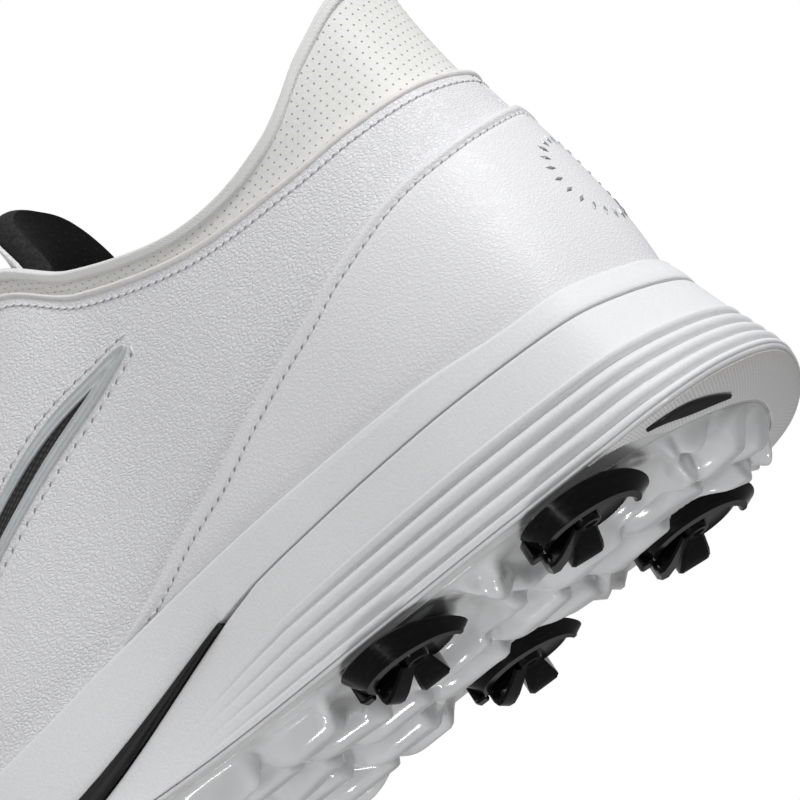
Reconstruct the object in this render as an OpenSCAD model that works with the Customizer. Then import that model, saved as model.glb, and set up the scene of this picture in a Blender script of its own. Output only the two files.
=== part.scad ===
// Golf shoe, left foot: toe along -Y, heel along +Y, outer side of the foot along +X.
// Z = 0 is the plane of the spike tips that the shoe stands on.

/* [Sole] */
// Length of the sole from toe to heel
sole_length = 287; // [280:1:296]
// Width of the upper across the ball of the foot
ball_width = 97; // [94:1:100]
// Height of the midsole rim at the heel
heel_stack = 42.5; // [42:0.5:44]
// Height of the outsole plate above the ground
ground_gap = 8; // [8:0.5:9]
// Thickness of the rolled rim round the foot of the upper
rim_t = 2.2; // [1.8:0.1:2.6]
// How far the heel of the sole flares out behind the rim
heel_flare = 10; // [8:0.5:11]
// Depth of the grooves round the heel
groove_depth = 0.9; // [0.4:0.1:1.2]

/* [Spikes] */
// Diameter of a spike's disc, without its wing
spike_d = 20; // [19:0.5:21]
// Diameter of the stud that turns in its socket
stud_d = 9; // [8:0.5:10]
// Gap all round the stud in its socket
stud_fit = 0.05; // [0.03:0.01:0.09]
// Height of the studs and sockets above the outsole plate
socket_h = 5.4; // [5:0.1:5.6]
// Distance between the heel spikes across the shoe
heel_track = 53; // [50:1:54]
// Distance between the heel spikes along the shoe
heel_base = 42.5; // [42:0.5:45]

/* [Upper] */
// Thickness of the outer leather
leather_t = 1.2; // [1:0.1:1.4]
// Thickness of the lining
lining_t = 0.9; // [0.7:0.1:1]
// Thickness of the padding in the collar
collar_pad = 5.2; // [4:0.2:5.4]
// Height of the collar behind the ankle above the leather
collar_rise = 28; // [24:1:30]
// Number of eyelets on each side
eyelet_count = 6; // [5:1:6]
// Diameter of the lace
lace_d = 3.2; // [2.8:0.1:3.4]

/* [Hidden] */
$fn = 48;

gap = 0.25;                       // clearance between neighbouring layers
lf = sole_length / 287;           // lengthwise scale of the outline
wf = ball_width / 97;             // crosswise scale of the outline
tuck = 6;                         // how far the upper stands below the rim
cup = 8;                          // depth of the cup below the rim
steps = 4;                        // ring points between two outline points

// Foot of the upper, seen from above: heel, outer side, toe, inner side
FOOT = [[0, 130.2], [19.8, 123.4], [29.1, 114.2], [34.2, 92], [34, 60], [34, 20], [42, -20],
        [48, -55], [45, -90], [34, -114], [14, -133], [-6, -138], [-28, -130], [-44, -106],
        [-49, -75], [-48, -45], [-38, -5], [-29, 30], [-29, 65], [-32.2, 92], [-28.1, 114.2],
        [-19.8, 123.4]];

// Top edge of the leather, one point for each point of the foot outline
TOP = [[0, 123, 94.5], [15, 117.2, 94.2], [24, 104.5, 92.8], [28, 89, 91.4], [28.5, 65, 92.8],
       [25, 41, 101.5], [21, 22, 113.5], [17, -5, 101], [13.5, -28, 87], [10, -44, 78], [5, -50, 74],
       [0, -52, 73], [-5, -50, 74], [-10, -44, 78], [-13.5, -28, 87], [-17, -5, 101],
       [-21, 22, 113.5], [-25, 41, 101.5], [-28, 65, 92.8], [-27.5, 89, 91.4], [-23.5, 104.5, 92.8],
       [-15, 117.2, 94.2]];

// Heights along the shoe, as [place from toe to heel, height]
RIM = [[-150, 36], [-110, 28.5], [-75, 26.5], [-40, 28.5], [-12, 32.6], [12, 37.2], [35, 40], [60, 41.2],
       [92, 41.4], [110, 40.6], [125, 42], [150, 44]];
SEAM = [[-150, 22], [-110, 13.5], [-75, 11], [-60, 10.8], [-40, 12.2], [-8, 17.5], [35, 29.8],
        [62, 32.8], [88, 34], [118, 35], [150, 37.3]];
EDGE = [[-150, 21], [-110, 12.5], [-75, 10], [-40, 9.4], [10, 9.1], [60, 9.2], [100, 9.5], [128, 11.5],
        [150, 17.4]];
BASE = [[-150, 18], [-118, 10.5], [-90, 8.1], [-75, 8], [105, 8], [125, 8.3], [150, 11]];
SHANK = [[-58, 0.3], [-40, 1.8], [-15, 3.8], [0, 3.4], [20, 1.8], [42, 0.3]];

// Bulge of the upper from heel (0) to toe (11): [out low, up low, out high, up high]
BELLY = [[0, [3, 18, 4, -18]], [3, [2.5, 18, 5, -18]], [5, [1.5, 20, 7, -20]],
         [7, [1.5, 18, 14, -14]], [9, [3, 24, 26, -12]], [11, [8, 30, 48, -12]]];

// Height of the collar above the leather, from heel (0) to eyestay (6)
RISE = [[0, 1], [1, 0.92], [2, 0.69], [2.6, 0.49], [3, 0.36], [3.5, 0.24], [4, 0.19], [4.6, 0.18],
        [5.4, 0.2], [6.2, 0.19]];

// Upper edge of the heel overlay, from heel (0) forwards
OVERLAY = [[0, 0.805], [0.77, 0.755], [1.45, 0.725], [2.03, 0.705], [2.53, 0.67], [3.1, 0.595],
           [3.48, 0.515], [3.82, 0.445], [4.12, 0.37], [4.4, 0.285], [4.68, 0.22], [4.93, 0.155],
           [5.2, 0.1]];

// Centres of the nine spikes
heel_y = 59;
SPIKES = [[heel_track / 2, heel_y + heel_base], [-heel_track / 2, heel_y + heel_base],
          [heel_track / 2, heel_y], [-heel_track / 2, heel_y], [29, -28], [-27, -22], [31, -72],
          [-31, -66], [-3, -106]];
// Direction in which each spike's long wing points
TURNS = [20, 20, -5, 0, 20, 200, 20, 200, 80];

function lerp(a, b, t) = a + (b - a) * t;
function clamp(x, lo, hi) = min(max(x, lo), hi);
function smooth(x, lo, hi) = let(t = clamp((x - lo) / (hi - lo), 0, 1)) t * t * (3 - 2 * t);
function unit(v) = v / norm(v);

// Cubic through two points with their slopes
function hermite(a, b, ma, mb, t) =
    a * (2 * t ^ 3 - 3 * t ^ 2 + 1) + ma * (t ^ 3 - 2 * t ^ 2 + t)
    + b * (3 * t ^ 2 - 2 * t ^ 3) + mb * (t ^ 3 - t ^ 2);

// Smooth curve through keys, flat outside their range
function slope(k, i) =
    let(a = max(i - 1, 0), b = min(i + 1, len(k) - 1)) (k[b][1] - k[a][1]) / (k[b][0] - k[a][0]);
function span(k, x, i = 0) = i >= len(k) - 2 || x < k[i + 1][0] ? i : span(k, x, i + 1);
function key(k, x) =
    let(c = clamp(x, k[0][0], k[len(k) - 1][0]), i = span(k, c), w = k[i + 1][0] - k[i][0])
    hermite(k[i][1], k[i + 1][1], w * slope(k, i), w * slope(k, i + 1), (c - k[i][0]) / w);

// Closed curve through a loop of points
function wrap(p, i) = p[(i % len(p) + len(p)) % len(p)];
function loop_at(p, u) =
    let(i = floor(u), b = wrap(p, i), c = wrap(p, i + 1))
    hermite(b, c, (c - wrap(p, i - 1)) / 2, (wrap(p, i + 2) - b) / 2, u - i);

// Foot outline and its outward direction; u counts outline points from the heel
function foot(u) = let(p = loop_at(FOOT, u)) [p[0] * wf, p[1] * lf];
function outward(u) = let(t = unit(foot(u + 0.02) - foot(u - 0.02))) [-t[1], t[0]];
function beside(u, d) = foot(u) + outward(u) * d;
function from_heel(u) = let(m = (u % 22 + 22) % 22) min(m, 22 - m);
function height(k, y) = key(k, y / lf) + (k == BASE || k == EDGE ? ground_gap - 8 : 0);
function rim_z(y) = key(RIM, y / lf) + heel_stack - 42.5;

// Flare of the sole below the rim, greatest behind the heel
function flare(u) = heel_flare * lerp(0.34, 1, 1 - smooth(from_heel(u), 0.6, 3))
                    * (1 - 0.35 * smooth(from_heel(u), 5, 9));

// Outer surface of the upper: v from 0 at the rim to 1 at the top of the leather,
// and on to 2 at the top of the collar
function bezier(a, b, c, d, t) =
    a * (1 - t) ^ 3 + b * 3 * t * (1 - t) ^ 2 + c * 3 * t ^ 2 * (1 - t) + d * t ^ 3;
function foot_3d(u) = let(p = foot(u)) [p[0], p[1], rim_z(p[1]) - tuck];
function top_3d(u) = let(p = loop_at(TOP, u)) [p[0] * wf, p[1] * lf, p[2]];
function leather(u, v) =
    let(n = outward(u), n3 = [n[0], n[1], 0], k = key(BELLY, from_heel(u)), f = foot_3d(u),
        t = top_3d(u))
    bezier(f, f + n3 * k[0] + [0, 0, k[1]], t + n3 * k[2] + [0, 0, k[3]], t, v);
function collar(u, w) =
    let(n = outward(u), rise = collar_rise * key(RISE, from_heel(u)))
    top_3d(u) + rise * (w * [0, 0, 1] + (0.1 * w ^ 2 - 0.22 * w) * [n[0], n[1], 0]);
function skin(u, v) = v <= 1 ? leather(u, v) : collar(u, v - 1);
function skin_normal(u, v) =
    let(a = v > 1 ? max(v - 0.02, 1) : v - 0.02, b = v > 1 ? v + 0.02 : min(v + 0.02, 1),
        du = skin(u + 0.02, v) - skin(u - 0.02, v), dv = skin(u, b) - skin(u, a))
    unit(cross(dv, du));
function on_skin(u, v, d) = skin(u, v) + skin_normal(u, v) * d;

// Depth of the lining's outer face below the skin
function stiff(u, v) = (1 - smooth(v, 0.45, 0.6))
                       * (1 - smooth(from_heel(u), 3.4, 4.4) + smooth(from_heel(u), 8.2, 9));
function padded(u, v) = smooth(v, 0.6, 0.95) * (1 - smooth(from_heel(u), 3.6, 4.7));
function under_panel(u, v) = smooth(v, 0.8, 0.92) * (1 - smooth(from_heel(u), 6.1, 6.6));
function lining_depth(u, v) = leather_t + 0.6 + 1.2 * stiff(u, v) + (collar_pad + 1) * padded(u, v)
                              + 1.1 * under_panel(u, v);

// Closed sheet: at(s, t, side) gives its inner face for side 0 and its outer face for side 1
module sheet(ns, nt, at) {
    row = nt + 1;
    grid = (ns + 1) * row;
    points = [for (side = [1, 0], i = [0:ns], j = [0:nt]) at(i / ns, j / nt, side)];
    function quad(a, b, c, d) = [[a, b, c], [a, c, d]];
    faces = concat(
        [for (i = [0:ns - 1], j = [0:nt - 1], f = let(a = i * row + j)
            quad(a, a + row, a + row + 1, a + 1)) f],
        [for (i = [0:ns - 1], j = [0:nt - 1], f = let(a = grid + i * row + j)
            quad(a, a + 1, a + row + 1, a + row)) f],
        [for (j = [0:nt - 1], f = quad(j, j + 1, grid + j + 1, grid + j)) f],
        [for (j = [0:nt - 1], f = let(a = ns * row + j)
            quad(a + 1, a, grid + a, grid + a + 1)) f],
        [for (i = [0:ns - 1], f = let(a = i * row)
            quad(a + row, a, grid + a, grid + a + row)) f],
        [for (i = [0:ns - 1], f = let(a = i * row + nt)
            quad(a, a + row, grid + a + row, grid + a)) f]);
    polyhedron(points, faces);
}

// Sheet that lies on the skin: place(s, t) gives [u, v] and depth(u, v, side) the offset
module skin_sheet(ns, nt, place, depth) {
    sheet(ns, nt, function(s, t, side)
        let(p = place(s, t)) on_skin(p[0], p[1], depth(p[0], p[1], side)));
}

// Closed solid through rings of equal length, each ring mirrored left and right of its middle
module loft(rings) {
    n = len(rings[0]);
    top = (len(rings) - 1) * n;
    walls = [for (r = [0:len(rings) - 2], i = [0:n - 1],
        f = let(a = r * n + i, b = r * n + (i + 1) % n) [[a, b + n, a + n], [a, b, b + n]]) f];
    cap = [for (i = [0:n / 2 - 2], f = [[i, n - 2 - i, i + 1], [i, n - 1 - i, n - 2 - i]]) f];
    lid = [for (f = cap) [f[0], f[2], f[1]] + [top, top, top]];
    faces = concat(walls, cap, lid);
    polyhedron([for (r = rings, p = r) p], faces);
}

// Places along the whole outline, and along its heel part back from the waist
WHOLE = [for (i = [0:22 * steps - 1]) -11 + (i + 0.5) / steps];
function around(reach) = [for (i = [0:8 * steps - 1]) -reach + 2 * reach * i / (8 * steps - 1)];

// Ring at offset d(u) and height z(u, y)
function ring(us, d, z) =
    [for (u = us) let(p = beside(u, d(u))) [p[0], p[1], z(u, p[1])]];
function side_d(u, f) = rim_t + 0.9 + flare(u) * f;

module socket_pockets(extra) {
    for (c = SPIKES)
        translate([c[0], c[1], ground_gap - 3])
            cylinder(d = stud_d + 6 + 2 * extra, h = socket_h + 3 + extra);
}

// Pads between the spikes: places on a staggered grid that are clear of the edge and of the
// circle that each spike's wing sweeps
pad_pitch = 12;
pad_r = 4;
pad_h = 6.6;
wing_reach = 16.5;
function clear_of_spikes(p) = min([for (c = SPIKES) norm(p - c)]) > wing_reach + pad_r + 0.4;
function inside_edge(p) =
    let(d = [for (u = WHOLE) norm(p - foot(u))], u = WHOLE[search(min(d), d)[0]])
    (foot(u) - p) * outward(u) > pad_r;
PADS = [for (i = [-12:12], j = [-5:5])
    let(p = [(j + (abs(i) % 2) / 2) * pad_pitch, i * pad_pitch * 0.87])
    if (inside_edge(p) && clear_of_spikes(p)) p];

// Offset at which the flat bottom of the plate turns up into its sloping border
border_in = function(u) side_d(u, 1) - 3.5 - 7 * (1 - smooth(from_heel(u), 1, 3.5));

module outsole() {
    color("whitesmoke") difference() {
        union() {
            loft([ring(WHOLE, border_in, function(u, y) height(BASE, y)),
                  ring(WHOLE, function(u) side_d(u, 1) - 0.8, function(u, y) height(EDGE, y) - 1),
                  ring(WHOLE, function(u) side_d(u, 1) - 0.3, function(u, y) height(EDGE, y) - gap)]);
            for (p = PADS)
                translate([p[0], p[1], height(BASE, p[1]) - pad_h])
                    cylinder(r1 = pad_r - 1.4, r2 = pad_r, h = pad_h + 0.7);
        }
        socket_pockets(0);
    }
}

// Plain slanted bar bonded to the sloping border behind the heel
function border(u, t) = lerp(
    let(p = beside(u, border_in(u))) [p[0], p[1], height(BASE, p[1])],
    let(p = beside(u, side_d(u, 1) - 0.8)) [p[0], p[1], height(EDGE, p[1]) - 1], t);
module heel_inlay() {
    color("black") sheet(8, 2, function(s, t, side)
        let(u = lerp(0.5, 1.7, s), w = 0.32 * sin(180 * lerp(0.08, 0.92, s)),
            c = lerp(0.3, 0.7, s) + (t - 0.5) * w, a = border(u, c),
            n = unit(cross(border(u, c + 0.1) - a, border(u + 0.05, c) - a)))
        a + n * (side == 1 ? 0.7 : 0.1));
}

// Threaded receptacles moulded into the sole, one over each spike
module spike_sockets() {
    bore = stud_d / 2 + stud_fit;
    wall = stud_d / 2 + 3 - gap;
    color("gainsboro") for (c = SPIKES)
        translate([c[0], c[1], ground_gap - 0.1])
            rotate_extrude() polygon([
                [bore, 0], [wall, 0], [wall, socket_h - 0.1], [0, socket_h - 0.1],
                [0, socket_h - 1.4], [bore, socket_h - 1.4]]);
}

// How far the joint between the two midsoles dips inside the heel, under the cup
function dip(y) = max(0, height(SEAM, y) - rim_z(y) + cup + 1.8);

// Heel wedge: a plain band, then grooves with ribs between them that fade out along the waist
wedge_reach = 6.35;
groove_count = 4;
module midsole_lower() {
    low = function(y) height(EDGE, y);
    high = function(y) max(height(SEAM, y) - key(SHANK, y / lf) * shank_on(y) - gap, low(y) + 0.6);
    wall = function(u, q) side_d(u, 1 - 0.8 * q);
    // share of the wall's height at each ring, and whether the ring is at a groove's bottom
    stations = concat([[0, 0]], [for (g = [0:groove_count - 1], k = [0:2])
        [0.05 + 0.14 * g + 0.035 * k, k == 1 ? 1 : 0]], [[1, 0]]);
    color("white") difference() {
        loft(concat(
            [for (r = stations) ring(around(wedge_reach),
                function(u) wall(u, r[0]) - r[1] * groove_depth * (1 - smooth(abs(u), 3.6, 5)),
                function(u, y) lerp(low(y), high(y), r[0]))],
            [ring(around(wedge_reach), function(u) wall(u, 1) - 5,
                  function(u, y) high(y) - 1.1 * dip(y) - 0.1)]));
        socket_pockets(0.15);
    }
}

// Stiffening plate: its black edge shows as a line that swells along the waist
function shank_on(y) = smooth(y, -60, -57) * (1 - smooth(y, 41, 44));
module shank_plate() {
    us = concat([for (i = [0:15]) -7 + i * 2.35 / 15], [for (i = [0:15]) 4.65 + i * 2.35 / 15]);
    color("black") difference() {
        loft([ring(us, function(u) side_d(u, 0.5),
                   function(u, y) height(SEAM, y) - key(SHANK, y / lf) + 0.2),
              ring(us, function(u) side_d(u, 0.45), function(u, y) height(SEAM, y) - gap)]);
        socket_pockets(0.15);
    }
}

module midsole_upper() {
    color("white") difference() {
        loft([ring(WHOLE, function(u) side_d(u, 0.2 + 0.25 * smooth(from_heel(u), 4, 7)) - 5,
                   function(u, y) height(SEAM, y) - dip(y)),
              ring(WHOLE, function(u) side_d(u, 0.2 + 0.25 * smooth(from_heel(u), 4, 7)),
                   function(u, y) height(SEAM, y)),
              ring(WHOLE, function(u) side_d(u, 0.12), function(u, y) lerp(height(SEAM, y), rim_z(y), 0.5)),
              ring(WHOLE, function(u) side_d(u, 0), function(u, y) rim_z(y) - 1.2),
              ring(WHOLE, function(u) side_d(u, 0) - 0.5, function(u, y) rim_z(y) - 0.2),
              ring(WHOLE, function(u) side_d(u, 0) - rim_t + 0.6, function(u, y) rim_z(y)),
              ring(WHOLE, function(u) 0.9, function(u, y) rim_z(y) - 0.8),
              ring(WHOLE, function(u) 0.4, function(u, y) rim_z(y) - cup)]);
        socket_pockets(0.15);
    }
}

module insole_board() {
    color("tan") loft([
        ring(WHOLE, function(u) 0, function(u, y) rim_z(y) - cup + gap),
        ring(WHOLE, function(u) 0, function(u, y) rim_z(y) - tuck - gap)]);
}

module sockliner() {
    color("dimgray") loft([
        ring(WHOLE, function(u) -6, function(u, y) rim_z(y) - tuck),
        ring(WHOLE, function(u) -5.6, function(u, y) rim_z(y) - tuck + 3),
        ring(WHOLE, function(u) -6.4, function(u, y) rim_z(y) - tuck + 4.2)]);
}

leather_depth = function(u, v, side) side == 1 ? 0 : -leather_t;
overlay_depth = function(u, v, side) side == 1 ? gap + 1 : gap;

// Slanted seam between vamp and quarters
function vamp_seam(v) = lerp(8.1, 9.45, v);

module vamp() {
    color("white") skin_sheet(24, 10,
        function(s, t) [lerp(vamp_seam(t) + 0.02, 22 - vamp_seam(t) - 0.02, s), t], leather_depth);
}

// Spindle-shaped window in the side of the quarter, from its rear tip (0) to its front tip (1)
window_from = [4.73, 0.795];
window_to = [7.1, 0.2];
opening = [0.15, 0.85];
module window_shape(side, ends, width, power, low, high) {
    skin_sheet(18, 2, function(s, t)
        let(k = lerp(ends[0], ends[1], s), c = lerp(window_from, window_to, k),
            w = width * max(sin(180 * s), 0.02) ^ power)
        [side * c[0], c[1] + 0.015 * sin(180 * k) + side * (t - 0.5) * w],
        function(u, v, face) face == 1 ? high : low);
}
module window_opening(side) { window_shape(side, opening, 0.066, 0.8, -4, 4); }

// Holes through the eyestay, square to its surface
function eyelet_u(i) = lerp(6.55, 9.0, i / (eyelet_count - 1));
eyelet_v = 0.93;
hole_d = 4.6;
module at_eyelets(side) {
    for (i = [0:eyelet_count - 1]) {
        u = side * eyelet_u(i);
        n = skin_normal(u, eyelet_v);
        translate(skin(u, eyelet_v))
            rotate([0, acos(n[2]), atan2(n[1], n[0])])
                children();
    }
}
module eyelet_holes(side) {
    at_eyelets(side) translate([0, 0, -9]) cylinder(d = hole_d + 0.4, h = 14);
}

module quarter(side) {
    difference() {
        skin_sheet(30, 9, function(s, t)
            [side * lerp(0.02, vamp_seam(t) - 0.02, side > 0 ? s : 1 - s), t], leather_depth);
        window_opening(side);
        eyelet_holes(side);
    }
}
module quarter_lateral() { color("white") quarter(1); }
module quarter_medial() { color("white") quarter(-1); }

module heel_overlay() {
    color("white") skin_sheet(30, 5, function(s, t)
        let(u = (2 * s - 1) * 5.05) [u, lerp(0.12, key(OVERLAY, abs(u)), t)], overlay_depth);
}

module eyestay(side) {
    difference() {
        skin_sheet(18, 4, function(s, t)
            [side * lerp(6.1, 9.35, side > 0 ? s : 1 - s), lerp(0.84, 1, t)], overlay_depth);
        eyelet_holes(side);
    }
}
module eyestay_lateral() { color("gainsboro") eyestay(1); }
module eyestay_medial() { color("gainsboro") eyestay(-1); }

// Trim round the window, and the woven mesh behind it
module window_frame(side) {
    difference() {
        window_shape(side, [0, 1], 0.114, 0.45, gap, 0.9);
        window_opening(side);
    }
}
module window_frame_lateral() { color("lightgray") window_frame(1); }
module window_frame_medial() { color("lightgray") window_frame(-1); }
module window_mesh(side) { window_shape(side, [0.17, 0.83], 0.055, 0.8, -leather_t + 0.1, -0.5); }
module window_mesh_lateral() { color("black") window_mesh(1); }
module window_mesh_medial() { color("black") window_mesh(-1); }

stiffener_depth = function(u, v, side)
    side == 1 ? -leather_t - 0.45 : -lining_depth(u, v) + 0.25;
module toe_puff() {
    color("beige") skin_sheet(20, 6, function(s, t) [lerp(9.05, 12.95, s), lerp(0.01, 0.42, t)],
        stiffener_depth);
}
module heel_counter() {
    color("beige") skin_sheet(24, 6, function(s, t) [lerp(-3.3, 3.3, s), lerp(0.01, 0.42, t)],
        stiffener_depth);
}

// Perforated collar that stands out of the leather, its padding and its knitted edging
collar_reach = 5.9;
lining_split = 4.2;
panel_face = leather_t + 0.2;
module collar_panel() {
    color("whitesmoke") skin_sheet(34, 6, function(s, t)
        [lerp(-collar_reach, collar_reach, s), lerp(0.94, 1.95, t)],
        function(u, v, side) -panel_face - (side == 1 ? 0 : 0.9));
}
module collar_foam() {
    color("khaki") skin_sheet(24, 6, function(s, t)
        [lerp(-lining_split, lining_split, s), lerp(0.01, 2, lerp(5, 11, t) / 12)],
        function(u, v, side) side == 1 ? -panel_face - 1.3 : -lining_depth(u, v) + 0.3);
}
module collar_strip(from, to) {
    skin_sheet(44, 1, function(s, t)
        let(u = lerp(-collar_reach, collar_reach, s), rise = collar_rise * key(RISE, abs(u)))
        [u, (from < 0 ? 2 : 1) + lerp(from, to, t) / rise],
        function(u, v, side) -panel_face + (side == 1 ? 0.9 : gap));
}
module collar_binding() { color("white") collar_strip(-2.6, -0.1); }
module topline_edge() { color("snow") collar_strip(0.25, 1.5); }

lining_face = function(u, v, side) -lining_depth(u, v) - (side == 1 ? 0 : lining_t);
module heel_lining() {
    color("silver") skin_sheet(24, 12, function(s, t)
        [lerp(-lining_split, lining_split, s), lerp(0.01, 2, t)], lining_face);
}
module quarter_lining(side) {
    difference() {
        skin_sheet(14, 12, function(s, t)
            [side * lerp(lining_split + 0.02, vamp_seam(0) - 0.6, side > 0 ? s : 1 - s), t],
            lining_face);
        eyelet_holes(side);
    }
}
module quarter_lining_lateral() { color("silver") quarter_lining(1); }
module quarter_lining_medial() { color("silver") quarter_lining(-1); }
module vamp_lining() {
    color("silver") difference() {
        skin_sheet(26, 9, function(s, t)
            [lerp(vamp_seam(0) - 0.58, 22 - vamp_seam(0) + 0.58, s), t], lining_face);
        eyelet_holes(1);
        eyelet_holes(-1);
    }
}

// Tongue: a padded strip under the throat, hinged where it is stitched to the vamp
TONGUE = [[0, [-60, 66]], [0.35, [-25, 82]], [0.72, [12, 104]], [0.88, [26, 115.5]], [1, [33, 130]]];
tongue_w = 19.6;
function tongue_mid(s) = key(TONGUE, s);
function tongue_at(s, x, d) =
    let(a = tongue_mid(max(s - 0.02, 0)), b = tongue_mid(min(s + 0.02, 1)), t = unit(b - a),
        w = tongue_w * lerp(0.55, 1, smooth(s, 0, 0.8)) * (1 - 0.12 * smooth(s, 0.9, 1)),
        n = unit([x * 0.7, -t[1], t[0]]),
        m = tongue_mid(s), sag = 9 * x ^ 2)
    [x * w * lf, (m[0] + sag * t[1]) * lf, m[1] - sag * t[0]] + n * d;
module tongue_layer(s0, s1, reach, low, high) {
    sheet(16, 8, function(s, t, side)
        let(x = lerp(-reach, reach, t), top = s1 * (1 - 0.11 * abs(x) ^ 3))
        tongue_at(lerp(s0, top, s), x, side == 1 ? high : low));
}
module tongue_shell() { color("whitesmoke") tongue_layer(0.02, 1, 1, -1, 0); }
module tongue_foam() { color("khaki") tongue_layer(0.12, 0.97, 0.92, -4.9, -1.25); }
module tongue_lining() { color("black") tongue_layer(0.02, 1, 1, -6.2, -5.3); }

// Short flanged tubes pressed into the eyestays
module eyelet() {
    rotate_extrude() polygon([
        [hole_d / 2 - 0.5, -leather_t - 1.6], [hole_d / 2, -leather_t - 1.6], [hole_d / 2, gap + 1.2],
        [hole_d / 2 + 1.2, gap + 1.2], [hole_d / 2 + 1.2, gap + 1.7], [hole_d / 2 - 0.5, gap + 1.7]]);
}
module eyelets() {
    color("silver") {
        at_eyelets(1) eyelet();
        at_eyelets(-1) eyelet();
    }
}

// Lace: it crosses the throat at each pair of eyelets and runs on below the eyestay to the next
over = 3.9;
under = -5.4;
function lace_hole(side, i, d) = on_skin(side * eyelet_u(i), eyelet_v, d);
function lace_edge(side, i) = on_skin(side * eyelet_u(i), 1, over);
function lace_end(side, i) =
    [lace_hole(side, i, under), lace_hole(side, i, under + 1), lace_hole(side, i, over), lace_edge(side, i)];
function lace_bar(side, i) =
    let(a = lace_end(side, i), b = lace_end(-side, i))
    concat(a, [lerp(a[3], b[3], 0.5) + [0, 0, 1.5]], [b[3], b[2], b[1], b[0]]);
LACE = concat([on_skin(6.2, eyelet_v, under)],
    [for (i = [0:eyelet_count - 1], p = lace_bar(i % 2 == 0 ? 1 : -1, i)) p],
    [on_skin((eyelet_count % 2 == 0 ? 1 : -1) * 9.25, eyelet_v, under - 0.6)]);

// Round tube through a route, turned as little as possible from ring to ring
module tube(route, r, sides) {
    n = len(route);
    dirs = [for (i = [0:n - 1])
        unit(unit(route[min(i + 1, n - 1)] - route[i] + (i == n - 1 ? route[i] - route[i - 1] : [0, 0, 0]))
             + unit(route[i] - route[max(i - 1, 0)] + (i == 0 ? route[1] - route[0] : [0, 0, 0])))];
    function turn(x, d) = unit(x - d * (x * d));
    frames = [for (i = 0, x = turn([0, 0, 1], dirs[0]); i < n;
                   i = i + 1, x = i < n ? turn(x, dirs[i]) : x) x];
    points = [for (i = [0:n - 1], k = [0:sides - 1])
        let(a = 360 * k / sides) route[i] + r * (frames[i] * cos(a) + cross(dirs[i], frames[i]) * sin(a))];
    walls = [for (i = [0:n - 2], k = [0:sides - 1],
        f = let(a = i * sides + k, b = i * sides + (k + 1) % sides)
            [[a, a + sides, b + sides], [a, b + sides, b]]) f];
    ends = [[for (k = [0:sides - 1]) k], [for (k = [sides - 1:-1:0]) (n - 1) * sides + k]];
    polyhedron(points, concat(walls, ends));
}
module lace() {
    color("white") tube(LACE, lace_d / 2, 8);
}

// One spike: disc with a plain boss, a long swept wing, two paddles, a post and a locking stud
module spike(i) {
    color("#111111") translate([SPIKES[i][0], SPIKES[i][1], 0]) rotate(TURNS[i]) {
        translate([0, 0, ground_gap - 0.6]) cylinder(d = stud_d, h = socket_h - 1.5);
        rotate_extrude() polygon([
            [0, 3.2], [2.4, 3.2], [2.4, 4.6], [spike_d / 2 - 1, 4.6], [spike_d / 2, 5.2],
            [spike_d / 2, ground_gap - 0.8], [8, ground_gap - 0.5], [0, ground_gap - 0.5]]);
        translate([0, 0, 1.6])
            blade([-80, 86], spike_d / 2 - 0.6, spike_d / 2 + 2.6, wing_reach - spike_d / 2 - 2.6, 5.2);
        for (a = [182, 238]) blade([a, a + 36], 6.5, 11, 0, 5);
        rotate(-72) translate([spike_d / 2 + 2.2, 0, 1.8]) cylinder(d = 2.6, h = 4);
    }
}

// Curved blade between two directions, its outer side bowed out by bulge
module blade(ends, inner, outer, bulge, h) {
    n = 10;
    function arc(k, r) = let(a = lerp(ends[0], ends[1], k / n)) r * [cos(a), sin(a)];
    linear_extrude(h) polygon(concat(
        [for (k = [0:n]) arc(k, outer + bulge * sin(180 * k / n))],
        [for (k = [n:-1:0]) arc(k, inner)]));
}

outsole();
heel_inlay();
spike_sockets();
midsole_lower();
shank_plate();
midsole_upper();
insole_board();
sockliner();
vamp();
quarter_lateral();
quarter_medial();
heel_overlay();
eyestay_lateral();
eyestay_medial();
window_frame_lateral();
window_mesh_lateral();
window_frame_medial();
window_mesh_medial();
toe_puff();
heel_counter();
collar_panel();
collar_foam();
collar_binding();
topline_edge();
heel_lining();
quarter_lining_lateral();
quarter_lining_medial();
vamp_lining();
tongue_shell();
tongue_foam();
tongue_lining();
eyelets();
lace();
spike(0);  // spike_1
spike(1);  // spike_2
spike(2);  // spike_3
spike(3);  // spike_4
spike(4);  // spike_5
spike(5);  // spike_6
spike(6);  // spike_7
spike(7);  // spike_8
spike(8);  // spike_9
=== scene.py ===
"""Looks of a white golf shoe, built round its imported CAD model.

The frame is the CAD's: toe along -Y, heel along +Y, outer side of the foot along +X, the spikes'
tips on Z = 0. Shapes are worked out in millimetres and become metres when a mesh is made.
"""
import math

import bpy
import numpy as np
from mathutils import Matrix, Vector


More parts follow.
